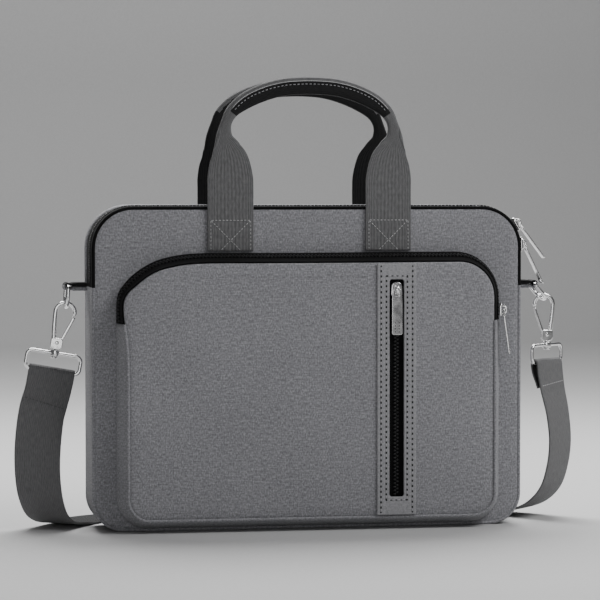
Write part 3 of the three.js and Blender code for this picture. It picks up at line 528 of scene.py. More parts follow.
def route_length(rows):
    """The length of a stretch of the route, in metres."""
    return float(np.linalg.norm(np.diff(route[rows], axis=0), axis=1).sum()) * MM


for name, rows in (("left", left_rows), ("right", right_rows)):
    print(name, "half of the strap", round(route_length(rows), 3), "m")

# %% [markdown]
# ## Outlines and bands
# The body and the pocket are rounded rectangles seen from the front. Their panels fill the outline
# and their gussets, zips and piping run along it. So one function gives the points of an outline with
# the directions that point out of it, and everything else is measured along those directions.


# %% Outlines
POINT_SPACING = 4.0  # between points along an outline


def arc(x, z, radius, start, count=13):
    """A quarter turn anticlockwise: middle + radius (cosine, sine), with its outward directions."""
    angle = np.radians(np.linspace(start, start + 90, count))
    out = np.stack([np.cos(angle), np.sin(angle)], -1)
    return np.array([x, z]) + radius * out, out


def line(start, end, out, count=None):
    """Points strictly between two ends, with one outward direction."""
    start, end = np.array(start, float), np.array(end, float)
    steps = count or max(2, int(np.linalg.norm(end - start) / POINT_SPACING))
    share = np.linspace(0, 1, steps + 1)[1:-1, None]
    points = start + share * (end - start)
    return points, np.broadcast_to(np.array(out, float), points.shape)


def chained(*stretches):
    """Several stretches of points and directions as one."""
    return tuple(np.concatenate(part) for part in zip(*stretches))


def rounded_loop(half, bottom, top, top_radius, bottom_radius, x=0.0, sides=None):
    """Right round a rounded rectangle, anticlockwise from just right of the middle of the bottom."""
    br, tr = bottom_radius, top_radius
    sides = sides or (None, None, None)
    points, out = chained(
        line((0, bottom), (half - br, bottom), (0, -1), sides[0]),
        arc(half - br, bottom + br, br, -90),
        line((half, bottom + br), (half, top - tr), (1, 0), sides[1]),
        arc(half - tr, top - tr, tr, 0),
        line((half - tr, top), (-half + tr, top), (0, 1), sides[2]),
        arc(-half + tr, top - tr, tr, 90),
        line((-half, top - tr), (-half, bottom + br), (-1, 0), sides[1]),
        arc(-half + br, bottom + br, br, 180),
        line((-half + br, bottom), (0, bottom), (0, -1), sides[0]),
    )
    return points + np.array([x, 0]), out


def run_over(half, top, radius, end_z):
    """From the left end at a height, up and over the top, down to the right end."""
    left, right = (-half, end_z), (half, end_z)
    points, out = chained(
        (np.array([left]), np.array([(-1.0, 0.0)])),
        line(left, (-half, top - radius), (-1, 0)),
        tuple(part[::-1] for part in arc(-half + radius, top - radius, radius, 90)),
        line((-half + radius, top), (half - radius, top), (0, 1)),
        tuple(part[::-1] for part in arc(half - radius, top - radius, radius, 0)),
        line((half, top - radius), right, (1, 0)),
        (np.array([right]), np.array([(1.0, 0.0)])),
    )
    return points, out


def run_under(half, bottom, radius, end_z):
    """The same run under the bottom: the upper run with its heights turned over."""
    points, out = run_over(half, -bottom, radius, -end_z)
    return points * (1, -1), out * (1, -1)


def band(run, n, y):
    """A section of (outwards, y) pairs carried along a run: point + n times its outward direction."""
    points, out = run
    n = np.broadcast_to(n, (len(points), np.shape(n)[-1]))
    y = np.broadcast_to(y, n.shape)
    x = points[:, :1] + n * out[:, :1]
    z = points[:, 1:] + n * out[:, 1:]
    return np.stack([x, y, z], -1)


def strip_section(n0, n1, y0, y1, squareness=9, count=28):
    """The section of a flat strip with rounded edges, between two depths and two places across."""
    u, v = section_ring(y1 - y0, n1 - n0, squareness, count)
    return (n0 + n1) / 2 + v, (y0 + y1) / 2 + u


def slow_wave(x, z, seed=0.0):
    """Soft unevenness between -1 and 1: three long sine waves that cross at odd angles."""
    return (np.sin(x / 33 + z / 71 + seed) * np.sin(z / 41 - x / 97 + 1 + seed)
            + 0.5 * np.sin(x / 19 - z / 37 + 2 * seed) + 0.3 * np.sin(z / 15 + x / 53)) / 1.8


# %% [markdown]
# ## Padded panels
# The front and the back are cloth over foam. At the seam the cloth is pulled down round the edge of
# the foam, and in the middle it lies a little unevenly. A panel here is rings of points: the outer
# rings are the outline moved inwards, the inner ones shrink to the middle, and the same rings further
# back make its inner face, so the panel is one closed piece.


# %% Panels
def roll(distance, radius, drop):
    """How far the face falls back at a distance from the edge: a quarter circle, scaled to the drop."""
    inside = np.clip(1 - distance / radius, 0, 1)
    return drop * (1 - np.sqrt(1 - inside**2))


RING_INSETS = np.array([0, 0.15, 0.5, 1.0, 1.8, 2.8, 4, 5.5, 7.5, 10, 13, 17])


def padded_panel(name, outline, front, thickness, edge, drop, unevenness=0.0, seed=0.0, reach=17.0):
    """A closed panel whose face is `front` (y) less the roll at its edge; negative thickness is towards -Y."""
    points, out = outline
    insets = RING_INSETS * reach / RING_INSETS[-1]
    rings = points - insets[:, None, None] * out
    middle = (points.min(0) + points.max(0)) / 2
    shrink = np.linspace(1, 0.03, 34)[1:, None, None]
    inner = middle + shrink * (rings[-1] - middle)
    flat = np.concatenate([rings, inner])[::-1]
    distance = np.concatenate([insets, np.full(len(inner), reach + 9)])[::-1, None]
    towards = np.sign(thickness)
    swell = np.clip(distance / 12, 0, 1) * unevenness * (slow_wave(flat[..., 0], flat[..., 1], seed) - 1)
    face = front + towards * (roll(distance, edge, drop) - swell)
    back = np.broadcast_to(front + thickness + towards * 0.6 * roll(distance, edge, drop), face.shape)
    rows = np.concatenate([flat, flat[::-1]])
    depth = np.concatenate([face, back[::-1]])
    grid = np.stack([rows[..., 0], depth, rows[..., 1]], -1)
    return surface(name, grid, uv=(grid[..., 0], grid[..., 2]))


BODY_TOP_RADIUS = 34
BODY_BOTTOM_RADIUS = 26


def body_outline(inset):
    """The body's outline seen from the front, moved inwards."""
    top_radius, bottom_radius = BODY_TOP_RADIUS - inset, BODY_BOTTOM_RADIUS - inset
    return rounded_loop(BODY_HALF - inset, inset, BODY_TOP - inset, top_radius, bottom_radius)


def outer_face(node, sign):
    """Where a node's face towards the outside lies: its lowest y at the front, its highest at the back."""
    low, high = box(node)
    return low[1] if sign > 0 else high[1]


PANEL_INSET = BODY_HALF - box("body_front_panel")[1][0]
for side, sign in (("front", 1), ("back", -1)):
    cloth_outline, core_outline = body_outline(PANEL_INSET - 1.2), body_outline(PANEL_INSET + 0.3)
    face = outer_face(f"body_{side}_panel", sign)
    panel = padded_panel(f"{side}_panel_cloth", cloth_outline, face, sign * 1.2, 7, 1.6, 0.35, sign)
    finish(panel, CLOTH, "cloth", "root", f"body_{side}_panel")
    face = outer_face(f"{side}_foam_pad", sign)
    pad = padded_panel(f"{side}_foam_core", core_outline, face, sign * 4, 3, 1.4, 0.1, sign)
    finish(pad, FOAM, "padding", "root", f"{side}_foam_pad")
    face = outer_face(f"{side}_lining", sign)
    inside = padded_panel(f"{side}_lining_cloth", core_outline, face, sign * 0.6, 2, 0.2, 0.1, 2 * sign)
    finish(inside, LINING, "lining", "root", f"{side}_lining")
low, high = box("laptop_divider")
half = high[0]
divider_outline = rounded_loop(half, low[2], high[2], 15, 15)
divider = padded_panel("padded_laptop_divider", divider_outline, low[1], 4, 5, 1.2, 0.2, 4, 12)
finish(divider, LINING, "lining", "root", "laptop_divider")
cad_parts["base_board"].data.materials[0] = BOARD
print("panels", len(panel.data.polygons), "faces each")

# %% [markdown]
# ## Gussets, piping and the main zip
# A gusset is the long strip that joins front and back. It is slightly crowned between its two seams,
# and a piping cord fills each seam. Over the top the gusset gives way to the zip: two black tapes
# with a coil between them. Along the zip the seam is bound in the same black tape.

# %% Gussets
CLOTH_THICK = 2.5
TAPE_DEPTH = (-1.3, -0.2)  # a zip tape lies a little below the seam
ZIP_END = box("top_gusset_strip")[0][2]
OVER = run_over(BODY_HALF, BODY_TOP, BODY_TOP_RADIUS, ZIP_END)
UNDER = run_under(BODY_HALF, 0, BODY_BOTTOM_RADIUS, ZIP_END - 0.3)


def crowned_strip(name, run, low_y, high_y, thick, crown, unevenness=0.0):
    """A strip whose outer face is highest between its seams: n falls with the fourth power towards them."""
    n, y = strip_section(-thick, 0, low_y, high_y, 10, 40)
    share = (2 * y - low_y - high_y) / (high_y - low_y)
    outer = n > -thick / 2
    rise = crown * (1 - share**4) * outer
    waves = unevenness * slow_wave(run[0][:, :1] * 0.6, run[0][:, 1:] * 0.8 + y) * outer * (1 - share**4)
    return surface(name, band(run, n + rise + waves, y))


low, high = box("side_bottom_gusset")
gusset = crowned_strip("side_gusset_cloth", UNDER, low[1] - 0.6, high[1] + 0.6, CLOTH_THICK, 0)
finish(gusset, CLOTH, "cloth", "root", "side_bottom_gusset")
low, high = box("top_gusset_strip")
top_strip = crowned_strip("top_gusset_cloth", OVER, low[1], high[1] + 0.6, CLOTH_THICK, 1.1, 0.3)
finish(top_strip, CLOTH, "cloth", "root", "top_gusset_strip")


# %% Piping
def cord_section(n, y, radius, count=14):
    """A round section in a seam."""
    angle = np.linspace(0, 2 * np.pi, count, endpoint=False)
    return n + radius * np.cos(angle), y + radius * np.sin(angle)


for side, sign in (("front", -1), ("back", 1)):
    points, out = body_outline(0)
    seam_y = sign * (BACK_Y - 1.5)
    section = cord_section(-1.5, seam_y, 1.45)
    piping = surface(f"{side}_piping_cord", band((points, out), *section), wrap_rows=True)
    middle_z = (points[:, 1] + np.roll(points[:, 1], -1)) / 2
    two_tone(piping, CLOTH, ZIP_TAPE, np.repeat(middle_z > ZIP_END, 14) & (side == "front"))
    finish(piping, [], "cloth", "root", f"{side}_piping")

# %% The main zip's tapes
for side in ("front", "rear"):
    low, high = box(f"main_zip_tape_{side}")
    widened = (low[1] - 0.7, high[1]) if side == "front" else (low[1], high[1])
    n, y = strip_section(*TAPE_DEPTH, *widened, 9, 36)
    tape = surface(f"main_zip_{side}_tape", band(OVER, n, y))
    finish(tape, ZIP_TAPE, "zip_tape", "root", f"main_zip_tape_{side}")


# %% [markdown]
# ## Beads: stitches and coil teeth
# A row of stitches or a zip's coil is one small shape repeated hundreds of times. Each bead is an
# oval of 24 faces, and a whole row is one mesh, placed with one array of middles and directions.


# %% Beads
def bead(columns=6, rings=3):
    """A unit oval: rings of points between two poles. Its faces are triangles at the poles, quads between."""
    tilt = np.pi * np.arange(1, rings + 1) / (rings + 1)
    turn = 2 * np.pi * np.arange(columns) / columns
    ring = np.stack([np.broadcast_to(np.cos(tilt)[:, None], (rings, columns)),
                     np.sin(tilt)[:, None] * np.cos(turn), np.sin(tilt)[:, None] * np.sin(turn)], -1)
    points = np.concatenate([ring.reshape(-1, 3), [(1, 0, 0), (-1, 0, 0)]])
    quads = grid_faces(rings, columns, False, True)[0]
    j = np.arange(columns)
    k = (j + 1) % columns
    last = (rings - 1) * columns
    start = np.stack([k, j, np.full(columns, rings * columns)], -1)
    end = np.stack([last + j, last + k, np.full(columns, rings * columns + 1)], -1)
    return points, quads, np.concatenate([start, end])


def beads(name, middles, along, out, size):
    """One mesh of equal beads: middle + length along + width sideways + height outwards."""
    points, quads, triangles = bead()
    length, width, height = np.array(size) / 2
    side = np.cross(along, out)
    place = (middles[:, None] + length * points[:, :1] * along[:, None]
             + width * points[:, 1:2] * side[:, None] + height * points[:, 2:] * out[:, None])
    shift = (np.arange(len(middles)) * len(points))[:, None, None]
    faces = [(f + shift).reshape(-1, f.shape[1]) for f in (quads, triangles)]
    return mesh_piece(name, place.reshape(-1, 3), faces)


def spaced(points, out, pitch, offset=0.5, closed=False):
    """Places every `pitch` along a line of points, with the line's direction and the outward direction."""
    if closed:
        points, out = np.concatenate([points, points[:1]]), np.concatenate([out, out[:1]])
    steps = np.linalg.norm(np.diff(points, axis=0), axis=1)
    far = np.concatenate([[0], np.cumsum(steps)])
    count = max(1, int(round(far[-1] / pitch)))
    at = (np.arange(count) + offset) * far[-1] / count

    def read(values, where):
        """Values given at the points, read at distances along the line."""
        return np.stack([np.interp(where, far, values[:, k]) for k in range(3)], -1)

    along = unit(read(points, at + 0.1) - read(points, at - 0.1))
    facing = read(out, at)
    facing = unit(facing - (facing * along).sum(1)[:, None] * along)
    return read(points, at), along, facing


def coil_teeth(name, line_points, out, width, pitch, slot_body, node):
    """A coil zip: two rows of slanted loops that lock in the middle, each loop one bead across the line."""
    middles, along, facing = spaced(line_points, out, pitch)
    sideways = np.cross(along, facing)
    even = (np.arange(len(middles)) % 2 * 2 - 1)[:, None]
    slanted = unit(sideways + 0.12 * even * along)
    middles = middles + 0.22 * width * even * sideways
    loops = beads(name, middles, slanted, facing, (0.62 * width, pitch * 1.3, 1.3))
    finish(loops, COIL, "zip_coil", slot_body, node)
    return loops


coil_y = (box("main_zip_coil")[0][1] + box("main_zip_coil")[1][1]) / 2
coil_run = run_over(BODY_HALF, BODY_TOP, BODY_TOP_RADIUS, box("main_zip_coil")[0][2])
coil_line = band(coil_run, np.array([0.6]), np.array([coil_y]))[:, 0]
coil_out = np.stack([coil_run[1][:, 0], np.zeros(len(coil_line)), coil_run[1][:, 1]], -1)
main_coil = coil_teeth("main_zip_teeth", coil_line, coil_out, 6, 1.5, "root", "main_zip_coil")
print("main zip has", len(main_coil.data.polygons) // 24, "loops")

# %% [markdown]
# ## The front pocket
# The pocket is a shallow box with slanting sides. A cloth gusset with piping runs under it and a zip
# runs over it. In use its upper left corner sags a little, so one function lowers every point near
# that corner, and the zip, the tapes and the panel all follow it.

# %% The pocket's sides
POCKET_LOW, POCKET_HIGH = box("pocket_zip_tape_outer")
POCKET_HALF = POCKET_HIGH[0] + 0.14
POCKET_TOP = POCKET_HIGH[2] + 0.14
POCKET_BOTTOM = box("pocket_gusset")[0][2]
POCKET_BACK = FACE_Y - 0.3
POCKET_DEPTH, POCKET_INSET = 18, 7
POCKET_SLANT = math.hypot(POCKET_DEPTH, POCKET_INSET)
POCKET_TOP_RADIUS, POCKET_BOTTOM_RADIUS = 38, 26
POCKET_ZIP_END = POCKET_LOW[2]


def sagged(grid):
    """The upper left corner lowered, and the panel's edge below it pushed out towards the left."""
    x, y, z = grid[..., 0], grid[..., 1], grid[..., 2]
    corner = np.exp(-((x + 146) / 30) ** 2) * np.clip((z - 150) / 60, 0, 1) ** 2
    middle = np.exp(-((x + 20) / 90) ** 2) * np.clip((z - 180) / 45, 0, 1)
    forward = np.clip((POCKET_BACK - y) / POCKET_DEPTH, 0, 1)
    bulge = forward * np.exp(-((z - 188) / 27) ** 2) * np.clip((-x - 110) / 35, 0, 1)
    return np.stack([x + 1.2 * corner - 4.6 * bulge, y, z - 8.5 * corner - 0.6 * middle], -1)


def on_slant(along, out):
    """A point of the slanting side, as (n, y): some way along it from the body, and out of it."""
    run, rise = POCKET_INSET / POCKET_SLANT, POCKET_DEPTH / POCKET_SLANT
    return -along * run + out * rise, POCKET_BACK - along * rise - out * run


def slanted_strip(name, run, from_along, to_along, n0, n1, material, slot_name, node, crown=0.0):
    """A strip on the slanting side, with rounded edges and an optional crown."""
    out, along = strip_section(n0, n1, from_along, to_along, 9, 36)
    share = (2 * along - from_along - to_along) / (to_along - from_along)
    out = out + crown * (1 - share**4)
    strip = surface(name, sagged(band(run, *on_slant(along, out))))
    return finish(strip, material, slot_name, "root", node)


POCKET_OVER = run_over(POCKET_HALF, POCKET_TOP, POCKET_TOP_RADIUS, POCKET_ZIP_END)
POCKET_UNDER = run_under(POCKET_HALF, POCKET_BOTTOM, POCKET_BOTTOM_RADIUS, POCKET_ZIP_END - 0.3)
HALF_SLANT = POCKET_SLANT / 2
slanted_strip("pocket_gusset_cloth", POCKET_UNDER, 0.4, POCKET_SLANT, -1.7, 0,
              CLOTH, "cloth", "pocket_gusset", 0.5)
for name, first, last in (("outer", 0.4, HALF_SLANT - 0.15), ("inner", HALF_SLANT + 0.15, POCKET_SLANT + 0.3)):
    slanted_strip(f"pocket_zip_{name}_tape", POCKET_OVER, first, last, *TAPE_DEPTH,
                  ZIP_TAPE, "zip_tape", f"pocket_zip_tape_{name}")
n, y = on_slant(HALF_SLANT, 0.75)
teeth_line = sagged(band(POCKET_OVER, np.array([n]), np.array([y])))[:, 0]
tilt = math.atan2(POCKET_INSET, POCKET_DEPTH)
teeth_out = np.stack([POCKET_OVER[1][:, 0] * math.cos(tilt), np.full(len(teeth_line), -math.sin(tilt)),
                      POCKET_OVER[1][:, 1] * math.cos(tilt)], -1)
coil_teeth("pocket_zip_teeth", teeth_line, teeth_out, 5.6, 1.5, "root", "pocket_zip_coil")

PANEL_Y = box("pocket_front_panel")[1][1]
seam = cord_section(-POCKET_INSET - 1.0, PANEL_Y - 1.3, 1.25)
pocket_piping = surface("pocket_piping_cord", sagged(band(POCKET_UNDER, *seam)))
finish(pocket_piping, CLOTH, "cloth", "root", "pocket_piping")

# %% [markdown]
# ## The pocket's front and the trim strip
# The front panel has an upright slot for a hidden zip, so its surface runs between two loops: the
# outline outside and the slot inside. The loops have the same number of points, and every ring
# between them is a mix of the two. The trim strip of leather is made in the same way.


# %% A panel with a slot
def mixed_rings(inner, outer, shares):
    """Rings between two loops of equal length: (1 - share) inner + share outer."""
    return inner + np.asarray(shares)[:, None, None] * (outer - inner)


def slotted_panel(name, rings, back, face_of, bend=None):
    """A panel with a slot: its face from the slot out to the edge, round the edge, and back inside.

    `rings` holds the shares between the loops and the distances from the outer edge, inside first.
    """
    loops, distance = rings
    face = face_of(loops[..., 0], loops[..., 1], distance[:, None])
    depth = np.concatenate([face, np.broadcast_to(np.maximum(back, face + 0.2)[::-1], face.shape)])
    flat = np.concatenate([loops, loops[::-1]])
    grid = np.stack([flat[..., 0], depth, flat[..., 1]], -1)
    if bend is not None:
        grid = bend(grid)
    return surface(name, grid, wrap_rows=True, uv=(grid[..., 0], grid[..., 2]))


SLOT = (40, 60, 76)  # steps along the bottom, a side and the top of each matched loop
TRIM_LOW, TRIM_HIGH = box("trim_strip")
TRIM_X = (TRIM_LOW[0] + TRIM_HIGH[0]) / 2
COIL_LOW, COIL_HIGH = box("slit_zip_coil")
SLOT_BOTTOM, SLOT_TOP, SLOT_HALF = COIL_LOW[2] - 1, COIL_HIGH[2] + 1, 6
slot_loop, slot_out = rounded_loop(SLOT_HALF, SLOT_BOTTOM, SLOT_TOP, 2, 2, TRIM_X, SLOT)
panel_low, panel_high = box("pocket_front_panel")
inset = POCKET_HALF - panel_high[0] - 0.9
edge_loop, edge_out = rounded_loop(POCKET_HALF - inset, POCKET_BOTTOM + inset, POCKET_TOP - inset,
                                   POCKET_TOP_RADIUS - inset, POCKET_BOTTOM_RADIUS - inset, 0, SLOT)
edge_steps = np.array([12, 9, 7, 5.2, 3.8, 2.6, 1.6, 0.8, 0.3, 0])
outer_rings = edge_loop - edge_steps[:, None, None] * edge_out
shares = np.concatenate([[0, 0.02, 0.05], np.linspace(0.1, 1, 28)[:-1]])
inner_rings = mixed_rings(slot_loop + 0.35 * slot_out, outer_rings[0], shares)
panel_rings = np.concatenate([inner_rings, outer_rings])
edge_distance = np.concatenate([np.full(len(shares), 30.0), edge_steps])


def pocket_face(x, z, distance):
    """The pocket's face: flat by the trim strip, softly uneven elsewhere, rolled back at its seam."""
    calm = 1 - np.exp(-((x - TRIM_X) / 26) ** 2)
    hollow = 0.5 * calm * np.clip(distance / 14, 0, 1) * (1 + slow_wave(x, z, 3.0)) / 2
    return panel_low[1] + roll(distance, 12, 1.9) + hollow


panel_pair = (panel_rings, edge_distance)
pocket_panel = slotted_panel("pocket_panel_cloth", panel_pair, panel_high[1], pocket_face, sagged)
finish(pocket_panel, CLOTH, "cloth", "root", "pocket_front_panel")

# %% The trim strip
SLOT_STITCHES, TRIM_STITCHES = 8.8, 13.2  # their distances from the strip's middle
STITCH_PITCH = 4.3
strip_half = (TRIM_HIGH[0] - TRIM_LOW[0]) / 2
strip_loop, strip_out = rounded_loop(strip_half, TRIM_LOW[2], TRIM_HIGH[2], 1.2, 1.2, TRIM_X, SLOT)
inner_steps = np.array([0, 0.12, 0.4, 0.9])
outer_steps = np.array([0.9, 0.4, 0.12, 0])
trim_loops = np.concatenate([
    slot_loop + inner_steps[:, None, None] * slot_out,
    mixed_rings(slot_loop + 0.9 * slot_out, strip_loop - 0.9 * strip_out, np.linspace(0, 1, 10)[1:-1]),
    strip_loop - outer_steps[:, None, None] * strip_out,
])
trim_edge = np.concatenate([inner_steps, np.full(8, 3.0), outer_steps])


def trim_face(x, z, distance):
    """The leather's face: flat, with edges rounded over 0.9 mm and drawn down along its stitching."""
    off = np.abs(x - TRIM_X)
    rows = np.exp(-((off - SLOT_STITCHES) / 0.9) ** 2) + np.exp(-((off - TRIM_STITCHES) / 0.9) ** 2)
    return TRIM_LOW[1] + roll(distance, 0.9, 0.7) + 0.22 * rows * np.clip(distance / 2, 0, 1)


trim = slotted_panel("leather_trim_strip", (trim_loops, trim_edge), TRIM_HIGH[1], trim_face)
finish(trim, LEATHER, "leather_trim", "root", "trim_strip")
print("trim strip", round(2 * strip_half, 1), "mm wide, slot", 2 * SLOT_HALF, "mm")


# %% Stitching on the trim
def stitches(name, middles, along, out, thread, slot_body, length=2.9, width=0.85, draw_hole_shades=True):
    """Raised stitches, with a nearly black dome at each end as painted shade of the pricked hole where the
    thread goes down.
    """
    row = beads(name, middles + 0.12 * out, along, out, (length, width, 0.75))
    finish(row, thread, "leather_trim", slot_body)
    if draw_hole_shades:
        # painted shade: a dark dome at each end of a stitch stands in for the shadow in its needle hole
        ends = np.concatenate([middles + 0.62 * length * along, middles - 0.62 * length * along])
        twice = [np.concatenate([a, a]) for a in (along, out)]
        hole_shade_beads = beads(name + "_painted_hole_shade", ends - 0.02 * twice[1], *twice, (1.6, 1.5, 0.4))
        finish(hole_shade_beads, NEEDLE_HOLE_SHADE, "leather_trim", slot_body)
    return row


def upright(points, y):
    """Flat (x, z) points stood up at one depth, with the front as their outward direction."""
    stood = np.stack([points[:, 0], np.full(len(points), y), points[:, 1]], -1)
    return stood, np.broadcast_to([0.0, -1.0, 0.0], stood.shape)


round_slot = rounded_loop(SLOT_HALF + 2.8, SLOT_BOTTOM - 2.8, SLOT_TOP + 2.8, 1, 1, TRIM_X)[0]
slot_row = spaced(*upright(round_slot, TRIM_LOW[1] + 0.1), STITCH_PITCH, closed=True)
stitches("slot_stitches", *slot_row, GREY_THREAD, "root")
for name, side in (("left", -1), ("right", 1)):
    x = TRIM_X + side * TRIM_STITCHES
    ends = np.array([(x, TRIM_LOW[2] + 2), (x, TRIM_HIGH[2] - 2)])
    side_row = spaced(*upright(ends, TRIM_LOW[1] + 0.1), STITCH_PITCH)
    stitches(f"trim_stitches_{name}", *side_row, GREY_THREAD, "root")

# %% The slit zip behind the slot
for name, side in (("left", -1), ("right", 1)):
    low, high = box(f"slit_zip_tape_{name}")
    n, x = strip_section(low[1], high[1], low[0], high[0], 9, 32)
    z = np.linspace(low[2], high[2], 60)[:, None]
    grid = np.stack(np.broadcast_arrays(x, n, z), -1)
    finish(surface(f"slit_zip_{name}_tape", grid), ZIP_TAPE, "zip_tape", "root", f"slit_zip_tape_{name}")
slit_ends = np.array([(TRIM_X, COIL_LOW[2]), (TRIM_X, COIL_HIGH[2])])
slit_line = upright(slit_ends, (COIL_LOW[1] + COIL_HIGH[1]) / 2)
coil_teeth("slit_zip_teeth", *slit_line, 4.4, 1.5, "root", "slit_zip_coil")
low, high = box("slit_pocket_bag")
bag_loop = rounded_loop((high[0] - low[0]) / 2, low[2], high[2], 8, 8, (high[0] + low[0]) / 2)
pouch = padded_panel("slit_pocket_pouch", bag_loop, low[1], 0.6, 2, 0.1, 0.05, 5, 6)
finish(pouch, LINING, "lining", "root", "slit_pocket_bag")

# %% [markdown]
# ## Plates and wires
# Every fitting is either a small plate with rounded edges, a bent wire or a turned part. Three
# functions cover them all, and each builds its grid in the fitting's own axes. A frame then places it:
# an origin with directions across, along and out.


# %% Plates, wires and turned parts
def edge_rings(loop, low, high, radius, count=4):
    """Rings round the edge of a plate, from its low face to its high face: two quarter turns of the radius."""
    points, out = loop
    turn = np.radians(np.linspace(-90, 90, 2 * count))
    upper = turn > 0
    inset = np.concatenate([[1.5 * radius], radius * (1 - np.cos(turn)), [1.5 * radius]])
    height = np.where(upper, high - radius, low + radius) + radius * np.sin(turn)
    height = np.concatenate([[low], height, [high]])
    rings = points - inset[:, None, None] * out
    return np.concatenate([rings, np.broadcast_to(height[:, None, None], (*rings.shape[:2], 1))], -1)


def plate_grid(outer, low, high, radius, hole=None):
    """A plate's grid of (across, along, height), with a hole when a second loop of equal length is given."""
    edge = edge_rings(outer, low, high, radius)
    if hole is not None:
        return np.concatenate([edge, edge_rings((hole[0], -hole[1]), low, high, radius)[::-1]])
    middle = np.append(outer[0].mean(0), 0)
    level = np.array([1, 1, 0])
    caps = [middle * level + 0.1 * (ring - middle) * level + ring * (0, 0, 1) for ring in (edge[0], edge[-1])]
    return np.concatenate([caps[:1], edge, caps[1:]])


def placed(grid, place):
    """A grid of (across, along, out) in a fitting's frame, turned into points of the bag."""
    origin, across_way, along_way, out_way = (np.array(part, float) for part in place)
    return (origin + grid[..., :1] * unit(across_way) + grid[..., 1:2] * unit(along_way)
            + grid[..., 2:] * unit(out_way))


def fitting(name, grid, place, body, *nodes, wrap_rows=False):
    """A nickel piece on its body, from a grid in the fitting's own frame."""
    return finish(surface(name, placed(grid, place), wrap_rows), NICKEL, "metal", body, *nodes)


def wire_grid(path, normal, width, thick, squareness=2.0, closed=False, count=16):
    """A flattened round section carried along a flat path; its width lies in the path's plane."""
    path = np.asarray(path, float)
    if closed:
        heading_way = np.roll(path, -1, 0) - np.roll(path, 1, 0)
    else:
        heading_way = np.gradient(path, axis=0)
    heading_way = unit(heading_way)
    normal = unit(np.array(normal, float))
    width, thick = (np.broadcast_to(v, len(path)) for v in (width, thick))
    u, v = section_ring(width, thick, np.full(len(path), squareness), count)
    return path[:, None] + u[..., None] * np.cross(heading_way, normal)[:, None] + v[..., None] * normal


def turned_grid(profile, count=28):
    """A lathe: a profile of (radius, height) turned right round the frame's middle line."""
    profile = np.asarray(profile, float)
    angle = np.linspace(0, 2 * np.pi, count, endpoint=False)
    radius, height = profile[:, :1], profile[:, 1:]
    return np.stack(np.broadcast_arrays(radius * np.cos(angle), height, radius * np.sin(angle)), -1)


def rounded_profile(inner, outer, low, high, radius, count=4):
    """A closed profile for a turned ring: a rectangle with rounded corners."""
    turn = np.radians(np.linspace(0, 90, count))
    corners = []
    for r, z, start in ((outer, high, 0), (inner, high, 90), (inner, low, 180), (outer, low, 270)):
        a = turn + math.radians(start)
        centre_r = r - radius if r == outer else r + radius
        centre_z = z - radius if z == high else z + radius
        corners.append(np.stack([centre_r + radius * np.cos(a), centre_z + radius * np.sin(a)], -1))
    return np.concatenate(corners)


# %% [markdown]
# ## Sliders and pullers
# A zip slider is a cast body with a bridge over it, and the puller hangs in the bridge by a small eye.
# All four are alike. The lower end of each puller is stamped with two rows of small pits for grip.
# Each pit is drawn as a small dark dome, as painted shade of its hollow.

# %% The four sliders
SMALL = (6, 14, 8)
TILT = math.radians(30)
SLANT = math.atan2(POCKET_INSET, POCKET_DEPTH)
SLIDERS = {
    "upper": ((177.462, -14.2, 250.165), (0, 1, 0), (-math.sin(TILT), 0, math.cos(TILT)),
              (math.cos(TILT), 0, math.sin(TILT)), 7),
    "lower": ((181.8, -14.2, 234), (0, 1, 0), (0, 0, 1), (1, 0, 0), 26),
    "pocket": ((159.178, -37.452, 180), (math.sin(SLANT), math.cos(SLANT), 0), (0, 0, 1),
               (math.cos(SLANT), -math.sin(SLANT), 0), 8),
    "slit": ((69, -47.6, 197.5), (1, 0, 0), (0, 0, 1), (0, -1, 0), 0),
}
PIVOT_HEIGHT = 3.3
PULLER_END = 0.9 - 38


def tapered(grid, start, amount, length):
    """The grid made narrower above a height, in proportion."""
    share = np.clip((grid[..., 1:2] - start) / length, 0, 1)
    return np.concatenate([grid[..., :1] * (1 - amount * share), grid[..., 1:]], -1)


for name, (origin, across_way, along_way, out_way, lift) in SLIDERS.items():
    here = (origin, across_way, along_way, out_way)
    shoe = tapered(plate_grid(rounded_loop(5, -6, 6, 3, 3, 0, SMALL), 0, 2, 0.7), -6, 0.16, 12)
    fitting(f"{name}_slider_body", shoe, here, f"{name}_slider", f"{name}_slider")
    turn = np.linspace(0, np.pi, 22)
    arch = np.stack([np.zeros(22), 3.3 * np.cos(turn), 1.6 + 3.8 * np.sin(turn) ** 0.7], -1)
    fitting(f"{name}_slider_bridge", wire_grid(arch, (1, 0, 0), 1.5, 2.2, 4), here, f"{name}_slider")
    lift = math.radians(lift)
    pivot = np.array(origin) + PIVOT_HEIGHT * unit(np.array(out_way, float))
    along_way, out_way = unit(np.array(along_way, float)), unit(np.array(out_way, float))
    up_way = along_way * math.cos(lift) - out_way * math.sin(lift)
    face_way = out_way * math.cos(lift) + along_way * math.sin(lift)
    there = (pivot, across_way, up_way, face_way)
    tongue = plate_grid(rounded_loop(4.4, PULLER_END, 0.9, 1.6, 1.6, 0, SMALL), -0.6, 0.6, 0.35,
                        rounded_loop(1.7, -5.5, -0.9, 0.6, 0.6, 0, SMALL))
    tongue = tapered(tongue, -6.5, 0.3, 7)
    fitting(f"{name}_puller_tongue", tongue, there, f"{name}_puller", f"{name}_puller", wrap_rows=True)
    # painted shade: the pits are dark domes, not hollows, coloured as the shade inside them
    x, z = np.meshgrid([-1.6, 1.6], np.linspace(PULLER_END + 2.6, PULLER_END + 10, 4))
    domes = placed(np.stack([x.ravel(), z.ravel(), np.full(8, 0.52)], -1), there)
    ways = [np.broadcast_to(way, domes.shape) for way in (up_way, face_way)]
    finish(beads(f"{name}_puller_painted_pit_shades", domes, *ways, (1.3, 1.3, 0.3)), PULLER_PIT_SHADE, "metal", f"{name}_puller")
